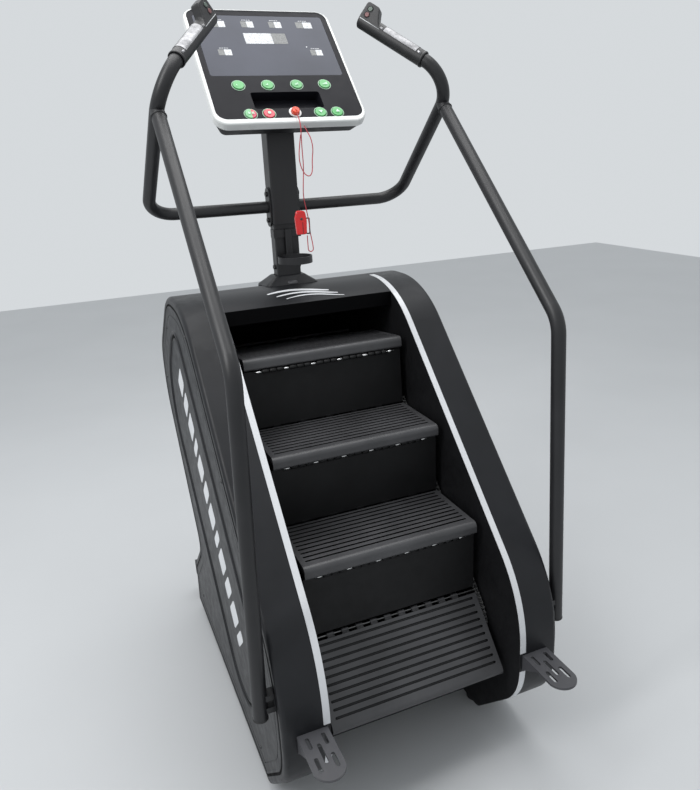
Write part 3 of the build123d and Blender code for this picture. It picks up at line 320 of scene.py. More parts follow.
def make_camera():
    """Looks along yaw and pitch, and is rolled about its own line of sight."""
    forward = Vector((math.sin(YAW) * math.cos(PITCH), math.cos(YAW) * math.cos(PITCH), -math.sin(PITCH)))
    level = Vector((math.cos(YAW), -math.sin(YAW), 0))
    up = level.cross(forward)
    right = level * math.cos(ROLL) + up * math.sin(ROLL)
    top = up * math.cos(ROLL) - level * math.sin(ROLL)
    turn = Matrix((right, top, -forward)).transposed().to_4x4()
    data = bpy.data.cameras.new("camera")
    data.sensor_width = SENSOR_WIDTH
    data.lens = LENS
    data.shift_x = SHIFT_X
    data.shift_y = SHIFT_Y
    camera = bpy.data.objects.new("camera", data)
    camera.matrix_world = Matrix.Translation(CAMERA_AT) @ turn
    bpy.context.scene.collection.objects.link(camera)
    bpy.context.scene.camera = camera


make_camera()

# -------------------------------------------------------------------------- cords
CORD_D = 0.0026
KEY_CORD_ROUTE = [
    (0.008, 0.1782, 1.6472), (0.008, 0.166, 1.634), (0.007, 0.152, 1.617), (0.005, 0.147, 1.590),
    (0.004, 0.145, 1.556), (0.005, 0.144, 1.512), (0.001, 0.145, 1.468), (-0.001, 0.146, 1.434),
    (0.004, 0.145, 1.404), (0.009, 0.143, 1.372), (0.011, 0.144, 1.340), (0.015, 0.145, 1.318),
    (0.0175, 0.145, 1.301), (0.018, 0.145, 1.290), (0.0138, 0.1455, 1.2858), (0.0078, 0.146, 1.2858),
    (0.0035, 0.146, 1.290), (0.0033, 0.146, 1.301), (0.003, 0.146, 1.318), (0.0032, 0.146, 1.330),
]
SLACK_ROUTE = [
    (0.0035, 0.147, 1.592), (-0.002, 0.146, 1.565), (-0.007, 0.143, 1.535), (-0.003, 0.142, 1.508),
    (0.008, 0.141, 1.489), (0.021, 0.141, 1.485), (0.029, 0.142, 1.499), (0.030, 0.144, 1.527),
    (0.036, 0.146, 1.556), (0.033, 0.152, 1.584), (0.027, 0.164, 1.601), (0.025, 0.1746, 1.6144),
]


def make_cord(name, route, node):
    """A limp cord on one smooth curve, in place of its CAD node."""
    data = bpy.data.curves.new(name, "CURVE")
    data.dimensions = "3D"
    data.bevel_depth = CORD_D / 2
    data.bevel_resolution = 4
    data.resolution_u = 12
    data.use_fill_caps = True
    spline = data.splines.new("NURBS")
    spline.points.add(len(route) - 1)
    for point, place in zip(spline.points, route):
        point.co = (*place, 1)
    spline.order_u = 3
    spline.use_endpoint_u = True
    cord = bpy.data.objects.new(name, data)
    data.materials.append(MATERIALS["cord_red"])
    bpy.context.scene.collection.objects.link(cord)
    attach(cord, "lanyard")
    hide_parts(node)


# ------------------------------------------------------------------- mesh helpers
def new_piece(name, verts, faces, material, body, smooth=False):
    """A mesh object in the row frame that rides on a body, with one finish."""
    mesh = bpy.data.meshes.new(name)
    mesh.from_pydata([tuple(v) for v in verts], [], faces)
    mesh.update()
    mesh.materials.append(MATERIALS[material])
    piece = bpy.data.objects.new(name, mesh)
    bpy.context.scene.collection.objects.link(piece)
    if smooth:
        mesh.shade_smooth()
    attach(piece, body)
    return piece


def joined(name, parts, material, body, smooth=False):
    """One piece made of several (verts, faces) lumps."""
    verts, faces = [], []
    for lump_verts, lump_faces in parts:
        start = len(verts)
        verts += [tuple(v) for v in lump_verts]
        faces += [[start + i for i in face] for face in lump_faces]
    return new_piece(name, verts, faces, material, body, smooth)


def prism(outline, origin, along_u, along_v, normal, height, bevel=0.0):
    """A plate with a chamfered top: the outline (u, v) raised from origin by height."""
    count = len(outline)
    middle = [sum(p[i] for p in outline) / count for i in (0, 1)]
    reach = max(math.hypot(p[0] - middle[0], p[1] - middle[1]) for p in outline)
    rings = [(0.0, 0.0), (height - bevel, 0.0), (height, bevel)]
    verts = []
    for lift, inset in rings:
        k = 1 - inset / reach
        for u, v in outline:
            pu, pv = middle[0] + (u - middle[0]) * k, middle[1] + (v - middle[1]) * k
            verts.append(origin + along_u * pu + along_v * pv + normal * lift)
    faces = [list(range(2 * count, 3 * count))]
    for low, high in ((0, count), (count, 2 * count)):
        for i in range(count):
            j = (i + 1) % count
            faces.append([low + i, low + j, high + j, high + i])
    return verts, faces


def rounded_box(width, height, radius, steps=5):
    """Outline points of a rectangle with round corners, centred on 0, 0."""
    points = []
    for quarter in range(4):
        cx = (width / 2 - radius) * (1 if quarter in (0, 3) else -1)
        cy = (height / 2 - radius) * (1 if quarter in (0, 1) else -1)
        for step in range(steps + 1):
            turn = math.pi / 2 * (quarter + step / steps)
            points.append((cx + radius * math.cos(turn), cy + radius * math.sin(turn)))
    return points


def moved_outline(outline, x, y):
    return [(u + x, v + y) for u, v in outline]


def circle(radius, count):
    turns = [2 * math.pi * i / count for i in range(count)]
    return [(radius * math.cos(turn), radius * math.sin(turn)) for turn in turns]


def lathe(profile, origin, axis, count=40, closed=False):
    """A turned shape: profile points are (distance along axis, radius)."""
    axis = Vector(axis).normalized()
    side = axis.orthogonal().normalized()
    other = axis.cross(side)
    verts = []
    for along, radius in profile:
        for i in range(count):
            turn = 2 * math.pi * i / count
            spoke = side * math.cos(turn) + other * math.sin(turn)
            verts.append(origin + axis * along + spoke * radius)
    faces = []
    rings = len(profile)
    for ring in range(rings if closed else rings - 1):
        for i in range(count):
            j = (i + 1) % count
            low, high = ring * count, (ring + 1) % rings * count
            faces.append([low + i, low + j, high + j, high + i])
    if not closed:
        faces.append(list(range(count))[::-1])
        faces.append([(rings - 1) * count + i for i in range(count)])
    return verts, faces


# ------------------------------------------------------------------------ console
TILT = math.radians(47.5)
FACE_FOOT = Vector((0, 0.168, 1.624))
FACE_UP = Vector((0, math.cos(TILT), math.sin(TILT)))
FACE_OUT = Vector((0, -math.sin(TILT), math.cos(TILT)))
ACROSS = Vector((1, 0, 0))
GLASS_LIFT = -0.0016        # display surface, measured out of the console's face
PANEL_LIFT = -0.0015        # printed face
BUTTON_LIFT = 0.003
LEVEL_PLACES = [(x, 0.136) for x in (-0.122, -0.041, 0.041, 0.122)]
ROW_PLACES = {
    "start": (-0.114, 0.0335), "stop": (-0.064, 0.0335), "down": (0.080, 0.0335), "up": (0.129, 0.0335),
}
RING_OUTER, RING_INNER = 0.0185, 0.0165
RING_COUNT = 40
PRINT_THICK = 0.0004
MARK_THICK = 0.0003
KEY_AT = (0.008, 0.035)
KEY_TOP = 0.0106            # top of the key, measured out of the console's face


def on_face(lift):
    return FACE_FOOT + FACE_OUT * lift


def face_plates(name, outlines, lift, height, material, body="frame"):
    """Thin plates on the console's face; each outline is in metres across and up it."""
    plates = [prism(o, on_face(lift), ACROSS, FACE_UP, FACE_OUT, height) for o in outlines]
    joined(name, plates, material, body)


def window(x0, x1, s0, s1, radius=0.0015):
    """Outline of a lit window between two places across and two places up the face."""
    return moved_outline(rounded_box(x1 - x0, s1 - s0, radius), (x0 + x1) / 2, (s0 + s1) / 2)


MAIN_LIT = (-0.061, 0.019, 0.293, 0.334)
MAIN_DIM = (0.0195, 0.061, 0.293, 0.334)
SMALL_WINDOWS = [
    (-0.140, -0.104, 0.357, 0.381), (-0.058, -0.022, 0.357, 0.381), (0.023, 0.060, 0.357, 0.381),
    (0.104, 0.152, 0.357, 0.381), (-0.147, -0.110, 0.248, 0.270), (0.118, 0.153, 0.248, 0.270),
]
DIM_SHARE = 0.45
LIT_GAP = 0.0004
CAPTION_BARS = 4
CAPTION_PITCH, CAPTION_WIDTH, CAPTION_HALF = 0.0066, 0.005, 0.013
CAPTION_FOOT, CAPTION_HEAD = 0.004, 0.0062
LAMP_AT = (0.112, 0.281)


def make_display():
    """Lit windows on the display, each part bright and part dim, with plain bars as captions."""
    bright, dim, captions = [window(*MAIN_LIT)], [window(*MAIN_DIM)], []
    for x0, x1, s0, s1 in SMALL_WINDOWS:
        split = x0 + (x1 - x0) * DIM_SHARE
        dim.append(window(x0, split, s0, s1))
        bright.append(window(split + LIT_GAP, x1, s0, s1))
        middle = (x0 + x1) / 2
        for step in range(CAPTION_BARS):
            start = middle - CAPTION_HALF + step * CAPTION_PITCH
            end = start + CAPTION_WIDTH
            captions.append(window(start, end, s1 + CAPTION_FOOT, s1 + CAPTION_HEAD, 0.0005))
    face_plates("display_lit_digits", bright, GLASS_LIFT, 0.0003, "led_white")
    face_plates("display_dim_digits", dim, GLASS_LIFT, 0.0003, "led_dim")
    face_plates("display_captions", captions, GLASS_LIFT, 0.0002, "print_grey")
    lamp = [moved_outline(circle(0.002, 16), *LAMP_AT)]
    face_plates("display_lamp", lamp, GLASS_LIFT, 0.0005, "led_white")


def ring_outline(x, s):
    """A flat ring round a button, as quads, so it has a real hole."""
    verts, faces = [], []
    foot = on_face(PANEL_LIFT)
    for lift in (0.0, PRINT_THICK):
        for radius in (RING_OUTER, RING_INNER):
            outline = moved_outline(circle(radius, RING_COUNT), x, s)
            verts += [foot + ACROSS * u + FACE_UP * v + FACE_OUT * lift for u, v in outline]
    for i in range(RING_COUNT):
        j = (i + 1) % RING_COUNT
        low_out, low_in, top_out, top_in = (ring * RING_COUNT for ring in range(4))
        faces.append([top_out + i, top_out + j, top_in + j, top_in + i])
        faces.append([low_out + i, low_out + j, top_out + j, top_out + i])
        faces.append([top_in + i, top_in + j, low_in + j, low_in + i])
    return verts, faces


def bar(x, s, width, height):
    """A small straight bar's outline on the console."""
    return moved_outline(rounded_box(width, height, min(width, height) * 0.45, 3), x, s)


def triangle(x, s, size, up):
    """A triangle's outline on the console, pointing up (1) or down (-1)."""
    foot = s - up * size * 0.6
    return [(x - size, foot), (x + size, foot), (x, s + up * size)][::up]


def button_mark(name, outlines, body):
    face_plates(name, outlines, BUTTON_LIFT, MARK_THICK, "print_pale", body)


def level_bars(x, s, count):
    """A row of bars, each taller than the one before."""
    return [
        bar(x - 0.0055 + 0.0036 * k, s - 0.003 + 0.001 * k, 0.0022, 0.004 + 0.002 * k)
        for k in range(count)
    ]


def make_button_marks():
    """Plain marks moulded on the console's buttons, and thin rings printed around them."""
    rings = [ring_outline(x, s) for x, s in LEVEL_PLACES + list(ROW_PLACES.values())]
    joined("button_rings", rings, "print_green", "frame")
    for number, (x, s) in enumerate(LEVEL_PLACES, 1):
        button_mark(f"level_mark_{number}", level_bars(x, s, number), f"level_button_{number}_body")
    x, s = ROW_PLACES["start"]
    arrow = [(x - 0.007, s - 0.005), (x - 0.0005, s), (x - 0.007, s + 0.005)]
    pause = [bar(x + shift, s, 0.002, 0.009) for shift in (0.004, 0.0075)]
    button_mark("start_pause_mark", [arrow] + pause, "start_pause_button_body")
    button_mark("stop_mark", [bar(*ROW_PLACES["stop"], 0.009, 0.009)], "stop_button_body")
    button_mark("speed_down_mark", [triangle(*ROW_PLACES["down"], 0.006, -1)], "speed_down_button_body")
    button_mark("speed_up_mark", [triangle(*ROW_PLACES["up"], 0.006, 1)], "speed_up_button_body")


def make_key_ridge():
    """A ridge to pull the safety key by."""
    foot = on_face(KEY_TOP) + ACROSS * KEY_AT[0] + FACE_UP * KEY_AT[1]
    ridge = prism(rounded_box(0.005, 0.015, 0.0022), foot, ACROSS, FACE_UP, FACE_OUT, 0.0022, 0.001)
    joined("safety_key_ridge", [ridge], "key_red", "lanyard", True)


# ----------------------------------------------------------------- housing details
SLOPE_UP = Vector((0, 0.69957, 0.71457))
SLOPE_OUT = Vector((0, -0.71457, 0.69957))
COVER_X = 0.3627            # outer face of each housing
SIDES = (("left", -1), ("right", 1))

# Outline of a housing as (y, z) corners with radii, and of its pressed track along and out of the slope.
HOUSING = [
    (-0.340, 0.030), (-0.530, 0.220), (-0.530, 0.489), (0.139, 1.172), (0.404, 1.172),
    (0.668, 0.953), (0.668, 0.790), (0.352, 0.350), (0.515, 0.205), (0.545, 0.030),
]
HOUSING_RADII = [0.040, 0.180, 0.320, 0.320, 0.250, 0.150, 0.200, 0.050, 0.060, 0.012]
TRACK = [(-0.03, 0.172), (-0.03, 0.552), (1.0, 0.552), (1.0, 0.172)]
TRACK_RADII = [0.16, 0.16, 0.10, 0.185]
SMALLEST_RADIUS = 0.004

CREASE_LIFT = 0.0002
SEAM_CREASE = (0.0205, 0.0275)          # insets of the dark seam's two edges
SEAM_BEAD = (0.0275, 0.005, 0.0014)     # inset, width and height
TRACK_CREASE = (-0.0055, 0.0055)
TRACK_BEADS = [(-0.0160, 0.0105, 0.004), (0.0055, 0.006, 0.002)]
PLAIN_BAND = [(0.0795, 0.0001), (0.0865, 0.0001)]

MARK_LENGTHS = [0.058, 0.044, 0.058, 0.030] * 3
MARK_GAP = 0.019
MARK_WIDTH = 0.086
MARKS_FROM = 0.90           # up the slope
MARKS_OUT, MARKS_LEAN = 0.352, 0.085
SCREW_PLACES = [
    (0.459, 1.055), (-0.16, 0.802), (-0.455, 0.42), (0.12, 1.10), (0.60, 0.86), (0.42, 0.12), (-0.28, 0.10),
]
BRIDGE_STROKES = [          # from x, to x, y, width, bow
    (-0.105, 0.075, 0.215, 0.016, 0.016), (-0.085, 0.095, 0.192, 0.010, 0.014),
    (-0.062, 0.108, 0.174, 0.006, 0.012),
]
STROKE_STEPS = 24
ABOVE_BRIDGE = 1.4
VENT_X = (0.02, 0.15)
VENT_TOP, VENT_PITCH, VENT_ROWS = 0.235, 0.016, 6
BEHIND_COVER = 0.9


def cross2(a, b):
    """How far b turns left of a."""
    return a[0] * b[1] - a[1] * b[0]


def inset_loop(corners, radii, inset, steps=14):
    """Points of a rounded outline shrunk by inset, the same number for every inset."""
    count = len(corners)
    turns = 1 if sum(cross2(corners[i - 1], corners[i]) for i in range(count)) > 0 else -1
    runs = [(Vector(corners[(i + 1) % count]) - Vector(corners[i])).normalized() for i in range(count)]
    points = []
    for i in range(count):
        before, after = runs[i - 1], runs[i]
        bend = cross2(before, after)
        inward = Vector((-before[1], before[0])) * turns + Vector((-after[1], after[0])) * turns
        corner = Vector(corners[i]) + inward * (inset / (1 + before.dot(after)))
        radius = radii[i] - inset if bend * turns > 0 else radii[i] + inset
        radius = max(radius, SMALLEST_RADIUS)
        reach = radius * math.tan(abs(math.atan2(bend, before.dot(after))) / 2)
        start, end = corner - before * reach, corner + after * reach
        side = Vector((-before[1], before[0])) * (1 if bend > 0 else -1)
        hub = start + side * radius
        sweep = math.atan2(bend, before.dot(after))
        for step in range(steps + 1):
            a = sweep * step / steps
            spoke = start - hub
            points.append(hub + Vector((spoke[0] * math.cos(a) - spoke[1] * math.sin(a),
                                        spoke[0] * math.sin(a) + spoke[1] * math.cos(a))))
    return points


def loop_band(corners, radii, profile, place):
    """A closed band along an outline; profile points are (inset, lift)."""
    rings = [[place(u, v, lift) for u, v in inset_loop(corners, radii, inset)] for inset, lift in profile]
    count = len(rings[0])
    faces = []
    for ring in range(len(rings) - 1):
        low, high = ring * count, (ring + 1) * count
        for i in range(count):
            j = (i + 1) % count
            faces.append([low + i, low + j, high + j, high + i])
    return [point for ring in rings for point in ring], faces


def bead(inset, width, height):
    """Half-round profile across a band."""
    return [(inset + width * k / 6, height * math.sin(math.pi * k / 6)) for k in range(7)]


def make_cover_lines():
    """Seam and pressed track on each housing: near-black strips of painted shade in the creases, between
    raised beads.
    """
    for side, sign in SIDES:
        def housing(y, z, lift):
            return Vector((sign * (COVER_X + lift), y, z))

        def track(along, out, lift):
            return Vector((sign * (COVER_X + lift), 0, 0)) + SLOPE_UP * along + SLOPE_OUT * out

        # painted shade: flat near-black strips where the seam and the track's groove lie
        creases = [
            loop_band(HOUSING, HOUSING_RADII, [(inset, CREASE_LIFT) for inset in SEAM_CREASE], housing),
            loop_band(TRACK, TRACK_RADII, [(inset, CREASE_LIFT) for inset in TRACK_CREASE], track),
        ]
        joined(f"cover_crease_shade_{side}", creases, "crease_black_painted_shade", "frame", True)
        raised = [loop_band(HOUSING, HOUSING_RADII, bead(*SEAM_BEAD), housing)]
        raised += [loop_band(TRACK, TRACK_RADII, bead(*one), track) for one in TRACK_BEADS]
        raised.append(loop_band(HOUSING, HOUSING_RADII, PLAIN_BAND, housing))
        joined(f"cover_beads_{side}", raised, "shell_black", "frame", True)


def make_side_marks():
    """Plain rounded bars down each housing, in place of lettering."""
    for side, sign in SIDES:
        plates, along = [], MARKS_FROM
        for length in MARK_LENGTHS:
            along -= length / 2
            out = MARKS_OUT + MARKS_LEAN * along
            origin = Vector((sign * COVER_X, 0, 0)) + SLOPE_UP * along + SLOPE_OUT * out
            outline = rounded_box(length, MARK_WIDTH, 0.010, 4)
            plates.append(prism(outline, origin, SLOPE_UP, SLOPE_OUT, Vector((sign, 0, 0)), 0.0005))
            along -= length / 2 + MARK_GAP
        joined(f"side_marks_{side}", plates, "print_white", "frame")


def screw(place, axis, radius=0.005):
    """A small pan head with a dished centre."""
    profile = [
        (-0.001, radius), (0.0008, radius), (0.0022, radius * 0.8), (0.0028, radius * 0.45),
        (0.0016, radius * 0.35), (0.0012, 0.0004),
    ]
    return lathe(profile, Vector(place), axis, 18)


def make_cover_screws():
    heads = [screw((sign * COVER_X, y, z), (sign, 0, 0)) for sign in (-1, 1) for y, z in SCREW_PLACES]
    joined("cover_screws", heads, "bolt_chrome", "frame", True)


def cad_surface(node):
    """A CAD node's surface, to lay things on."""
    mesh = NODES[node].data
    corners = [v.co.copy() for v in mesh.vertices]
    return BVHTree.FromPolygons(corners, [tuple(p.vertices) for p in mesh.polygons])


def draped_stroke(tree, points, width, lift=0.0005):
    """A flat stroke laid on a surface from above, along points (x, y)."""
    verts, faces = [], []
    for index, (x, y) in enumerate(points):
        a, b = points[max(index - 1, 0)], points[min(index + 1, len(points) - 1)]
        run = Vector((b[0] - a[0], b[1] - a[1])).normalized()
        taper = width * (0.35 + 0.65 * math.sin(math.pi * (index + 0.6) / (len(points) + 0.2)))
        for side in (-0.5, 0.5):
            spot = Vector((x - run.y * taper * side, y + run.x * taper * side, ABOVE_BRIDGE))
            hit = tree.ray_cast(spot, Vector((0, 0, -1)))
            verts.append(hit[0] + Vector((0, 0, lift)))
    for i in range(len(points) - 1):
        faces.append([2 * i, 2 * i + 2, 2 * i + 3, 2 * i + 1])
    return verts, faces


def make_bridge_mark():
    """Three plain sweeping strokes on the top cover, in place of lettering."""
    tree = cad_surface("bridge_cover")
    strokes = []
    for x0, x1, y, width, bow in BRIDGE_STROKES:
        points = []
        for i in range(STROKE_STEPS + 1):
            k = i / STROKE_STEPS
            points.append((x0 + (x1 - x0) * k, y + bow * math.sin(math.pi * k * 1.3) - 0.006 * k))
        strokes.append(draped_stroke(tree, points, width))
    joined("bridge_mark", strokes, "print_white", "frame")


def make_vents():
    """Louvres low on the rear cover."""
    tree = cad_surface("rear_cover")
    across = Vector((-1, 0, 0))
    slats = []
    for x in VENT_X:
        for row in range(VENT_ROWS):
            z = VENT_TOP - row * VENT_PITCH
            hit = tree.ray_cast(Vector((x, BEHIND_COVER, z)), Vector((0, -1, 0)))
            normal = hit[1] if hit[1].y > 0 else -hit[1]
            up = normal.cross(across).normalized()
            outline = rounded_box(0.10, 0.006, 0.0028, 4)
            slats.append(prism(outline, hit[0], across, up, normal, 0.0025, 0.001))
    joined("rear_vent_louvres", slats, "shell_black", "frame")


# -------------------------------------------------------------------- stair details
NOSES = {1: (0.0316, 1.033), 2: (-0.1642, 0.833), 3: (-0.360, 0.633)}
HINGE_FROM_NOSE = (0.0125, -0.037)      # back and up from a tread's top front edge
PINS = 6
PIN_PITCH = 0.0776
KNUCKLE_SHIFTS = (0.0185, 0.039, 0.0595)
PIN_PROFILE = [(-0.011, 0.0026), (0.011, 0.0026)]
KNUCKLE_PROFILE = [(-0.009, 0.0046), (-0.0085, 0.0054), (0.0085, 0.0054), (0.009, 0.0046)]


def make_hinge_rows():
    """Hinge knuckles under each nosing, with the pins showing bright between them."""
    for number, (y, z) in NOSES.items():
        knuckles, pins = [], []
        for k in range(PINS):
            across = (k - (PINS - 1) / 2) * PIN_PITCH
            start = Vector((across, y + HINGE_FROM_NOSE[0], z + HINGE_FROM_NOSE[1]))
            pins.append(lathe(PIN_PROFILE, start, ACROSS, 14))
            for shift in KNUCKLE_SHIFTS if k < PINS - 1 else ():
                knuckles.append(lathe(KNUCKLE_PROFILE, start + ACROSS * shift, ACROSS, 16))
        # the knuckles take the risers' darker black, as painted shade under the nosing
        joined(f"hinge_knuckles_{number}", knuckles, "riser_black_painted_shade", "flight", True)
        joined(f"hinge_pins_{number}", pins, "bright_steel", "flight", True)


# -------------------------------------------------------------------- grip details
GRIP_START = Vector((0.3178, 0.0435, 1.7605))
GRIP_END = Vector((0.2002, 0.1721, 1.8722))
GRIP_AXIS = (GRIP_END - GRIP_START).normalized()
LOBE_HINT = Vector((0.5745, -0.17, 0.8007))
LOBE = (LOBE_HINT - GRIP_AXIS * LOBE_HINT.dot(GRIP_AXIS)).normalized()
GRIP_TOP = LOBE.cross(GRIP_AXIS)
GRIP_R = 0.0205
GRIP_BUTTONS = {15: (0.015, 0.190), 31: (0.031, 0.190)}      # towards the lobe and along the grip
BUTTON_SEAT = 0.020
BEZEL = [(-0.001, 0.0066), (0.0006, 0.0068), (0.0011, 0.0076), (0.0006, 0.0084), (-0.001, 0.0086)]
COLLAR = [(0.0, 0.0180), (0.0, 0.0207), (0.0015, 0.0213), (0.005, 0.0213), (0.007, 0.0205), (0.007, 0.0180)]
TABS_AT = (0.0095, 0.1300)
TAB_LENGTH = 0.011


def grip_point(along, turn, radius):
    """A point round the right grip; turn 0 is towards the lobe and 90 on top."""
    angle = math.radians(turn)
    return GRIP_START + GRIP_AXIS * along + (LOBE * math.cos(angle) + GRIP_TOP * math.sin(angle)) * radius


def grip_patch(along0, along1, turn0, turn1, radius, thick, steps=10):
    """A curved plate on the grip's skin."""
    verts, faces = [], []
    for r in (radius, radius + thick):
        for along in (along0, along1):
            verts += [grip_point(along, turn0 + (turn1 - turn0) * i / steps, r) for i in range(steps + 1)]
    n = steps + 1
    for i in range(steps):
        faces.append([2 * n + i, 2 * n + i + 1, 3 * n + i + 1, 3 * n + i])
        faces.append([i, i + 1, 2 * n + i + 1, 2 * n + i])
        faces.append([n + i + 1, n + i, 3 * n + i, 3 * n + i + 1])
    faces.append([0, 2 * n, 3 * n, n])
    faces.append([n - 1, 2 * n - 1, 4 * n - 1, 3 * n - 1])
    return verts, faces


def flipped(lump):
    """A lump mirrored to the other side of the machine."""
    verts, faces = lump
    return [Vector((-v[0], v[1], v[2])) for v in verts], [face[::-1] for face in faces]


def both_sides(name, lumps, material):
    joined(f"{name}_right", lumps, material, "frame", True)
    joined(f"{name}_left", [flipped(lump) for lump in lumps], material, "frame", True)


def softened(node, name, material, voxel, passes, body="frame"):
    """A copy of a CAD solid with its edges melted together like a moulding."""
    piece = bpy.data.objects.new(name, NODES[node].data.copy())
    piece.data.materials.clear()
    piece.data.materials.append(MATERIALS[material])
    bpy.context.scene.collection.objects.link(piece)
    remesh = piece.modifiers.new("remesh", "REMESH")
    remesh.mode = "VOXEL"
    remesh.voxel_size = voxel
    remesh.use_smooth_shade = True
    relax = piece.modifiers.new("relax", "SMOOTH")
    relax.factor = 0.5
    relax.iterations = passes
    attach(piece, body)
    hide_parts(node)
    return piece


def make_grip_details():
    """Collars, ridge lines, end tabs and button bezels of both hand grips."""
    both_sides("grip_collar", [lathe(COLLAR, GRIP_START, GRIP_AXIS, 40, True)], "grip_grey")
    ridge = grip_patch(0.140, 0.203, 88, 93, GRIP_R - 0.0004, 0.0008, 2)
    both_sides("grip_ridge_line", [ridge], "print_grey")
    tabs = [grip_patch(start, start + TAB_LENGTH, 66, 82, GRIP_R - 0.0002, 0.0009, 4) for start in TABS_AT]
    both_sides("grip_end_tabs", tabs, "pulse_chrome")
    for label, (out, along) in GRIP_BUTTONS.items():
        seat = GRIP_START + LOBE * out + GRIP_AXIS * along + GRIP_TOP * BUTTON_SEAT
        both_sides(f"button_bezel_{label}", [lathe(BEZEL, seat, GRIP_TOP, 28, True)], "grip_grey")


# --------------------------------------------------------- rails, mast and lanyard
RAIL_FOOT = Vector((0.395, -0.481, 0.378))
RAIL_KNEE = Vector((0.374, -0.470, 1.163))
RAIL_JOINT = Vector((0.374, 0.0495, 1.656))
TUBE_R = 0.017
WELD_R = 0.0022
WELD_BACK = 0.024
PLUG = [
    (-0.001, TUBE_R - 0.001), (-0.001, TUBE_R + 0.0006), (0.0025, TUBE_R + 0.0006), (0.0045, TUBE_R - 0.002),
    (0.0050, 0.006), (0.0050, 0.0004),
]
BRACKET_SCREWS = [(COVER_X + 0.0225, -0.480, z) for z in (0.398, 0.430)]
BOOT_SLOPE = Vector((0, -0.763, 0.646))
BOOT_UP = Vector((0, 0.646, 0.763))
BOOT_CAP_AT = Vector((0, 0.2975, 1.1785))
HUB = [
    (0.0, 0.0195), (0.0008, 0.0190), (0.0008, 0.0110), (-0.002, 0.0100), (-0.002, 0.0050), (0.001, 0.0045),
    (0.001, 0.0004),
]
WHEEL_FACE_X, WHEEL_Y, WHEEL_Z = 0.336, 0.643, 0.028


def make_rail_details():
    """End plugs and screws at the rails' feet, and weld beads where they meet the handlebars."""
    down = (RAIL_FOOT - RAIL_KNEE).normalized()
    both_sides("rail_plug", [lathe(PLUG, RAIL_FOOT, down)], "foot_rubber")
    along = (RAIL_JOINT - RAIL_KNEE).normalized()
    turns = [math.pi / 4 * k for k in range(8)]
    weld = [(WELD_R * math.cos(turn), TUBE_R + WELD_R * math.sin(turn)) for turn in turns]
    both_sides("rail_weld", [lathe(weld, RAIL_JOINT - along * WELD_BACK, along, 40, True)], "frame_black")
    heads = [screw(place, (1, 0, 0), 0.0045) for place in BRACKET_SCREWS]
    both_sides("rail_bracket_screws", heads, "bolt_chrome")


def make_boot_cap():
    outline = rounded_box(0.030, 0.012, 0.0058, 6)
    cap = prism(outline, BOOT_CAP_AT, ACROSS, BOOT_UP, BOOT_SLOPE, 0.002, 0.0012)
    joined("boot_cap", [cap], "peg_grey", "frame", True)


def make_wheel_hubs():
    hubs = [
        lathe(HUB, Vector((sign * WHEEL_FACE_X, WHEEL_Y, WHEEL_Z)), (sign, 0, 0), 32)
        for sign in (-1, 1)
    ]
    joined("wheel_hubs", hubs, "bearing_iron", "wheels", True)


CLIP_FRONT = 0.1390         # y of the clip's front
CLIP_PIVOT = [(-0.001, 0.0034), (0.0008, 0.0034), (0.0014, 0.0026), (0.0014, 0.0003)]
CORD_LOOP_AT = (0.006, 1.356)
CORD_LOOP_Y = (0.1425, 0.1475)


def make_clip_details():
    """Jaw line, pivot and dark cord loop of the clothes clip."""
    up, front = Vector((0, 0, 1)), Vector((0, -1, 0))
    jaw_at, pivot_at = Vector((-0.010, CLIP_FRONT, 1.352)), Vector((-0.013, CLIP_FRONT, 1.376))
    jaw = prism(rounded_box(0.0012, 0.030, 0.0005, 2), jaw_at, ACROSS, up, front, 0.0006)
    joined("clip_jaw_line", [jaw], "foot_rubber", "lanyard")
    joined("clip_pivot", [lathe(CLIP_PIVOT, pivot_at, front, 20)], "bolt_chrome", "lanyard", True)
    outer = moved_outline(rounded_box(0.012, 0.044, 0.003), *CORD_LOOP_AT)
    inner = moved_outline(rounded_box(0.008, 0.038, 0.002), *CORD_LOOP_AT)
    verts, faces = [], []
    for y in CORD_LOOP_Y:
        for outline in (outer, inner):
            verts += [Vector((u, y, v)) for u, v in outline]
    n = len(outer)
    for i in range(n):
        j = (i + 1) % n
        faces += [
            [i, j, n + j, n + i], [2 * n + j, 2 * n + i, 3 * n + i, 3 * n + j],
            [j, i, 2 * n + i, 2 * n + j], [n + i, n + j, 3 * n + j, 3 * n + i],
        ]
    new_piece("clip_cord_loop", verts, faces, "cord_dark", "lanyard")


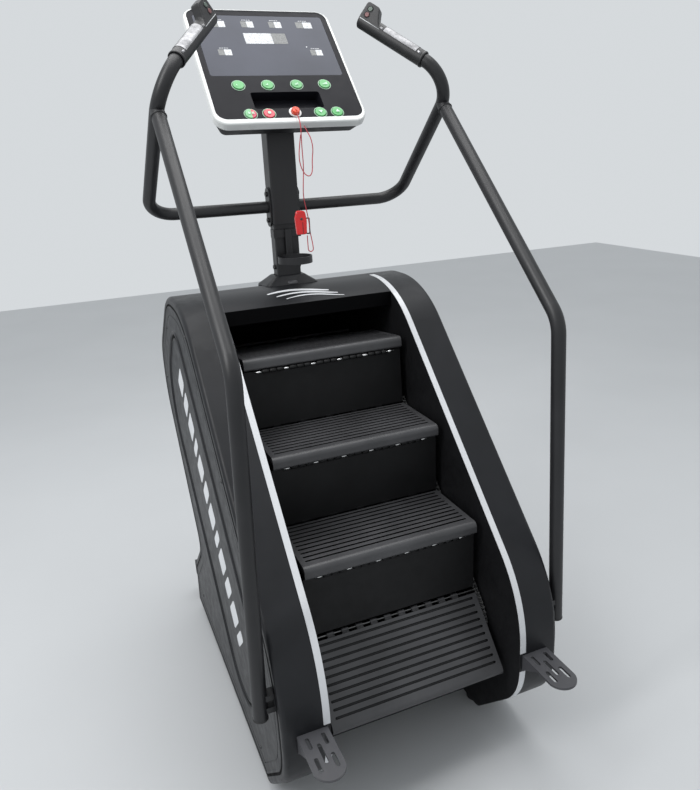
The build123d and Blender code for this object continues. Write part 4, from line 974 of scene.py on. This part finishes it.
softened("grip_right", "hand_grip_right", "grip_grey", 0.0016, 4)
softened("grip_left", "hand_grip_left", "grip_grey", 0.0016, 4)
softened("mast_boot", "mast_boot_moulding", "shell_black", 0.002, 3)
clip = softened("key_clip", "lanyard_clip", "clip_red", 0.0012, 5, "lanyard")
make_cord("lanyard_cord", KEY_CORD_ROUTE, "key_cord")
make_cord("lanyard_loose_loop", SLACK_ROUTE, "slack_cord")
make_display()
make_button_marks()
make_key_ridge()
make_side_marks()
make_cover_lines()
make_hinge_rows()
make_cover_screws()
make_bridge_mark()
make_vents()
make_grip_details()
make_rail_details()
make_boot_cap()
make_wheel_hubs()
make_clip_details()


# ------------------------------------------------------------------ floor, lights
FLOOR_SIZE = 14
SKY_COLOUR = (0.93, 0.97, 1.0, 1)
SKY_STRENGTH = 0.72


def make_floor():
    bpy.ops.mesh.primitive_plane_add(size=FLOOR_SIZE, location=(0, 0, 0))
    floor = bpy.context.object
    floor.name = "studio_floor"
    s = Shader("floor", (0.62, 0.63, 0.65), 0.55)
    s.mix_colour(s.spread(s.noise(1.5, 5), 0, 1), (0.55, 0.56, 0.57), (0.57, 0.58, 0.59))
    floor.data.materials.append(s.material)


def area_light(name, place, target, size, power):
    data = bpy.data.lights.new(name, "AREA")
    data.shape = "RECTANGLE"
    data.size, data.size_y = size
    data.energy = power
    light = bpy.data.objects.new(name, data)
    light.location = place
    light.rotation_euler = (Vector(target) - Vector(place)).to_track_quat("-Z", "Y").to_euler()
    bpy.context.scene.collection.objects.link(light)


def make_sky():
    world = bpy.data.worlds.new("studio")
    bpy.context.scene.world = world
    world.use_nodes = True
    background = world.node_tree.nodes["Background"]
    background.inputs["Color"].default_value = SKY_COLOUR
    background.inputs["Strength"].default_value = SKY_STRENGTH


make_floor()
make_sky()
area_light("ceiling", (0.1, 0.4, 3.4), (0, 0.1, 0.6), (2.4, 2.4), 55)
area_light("ceiling_left", (-2.2, -0.8, 3.2), (0, 0, 0.8), (0.5, 2.2), 45)
bpy.context.scene.view_settings.view_transform = "Standard"
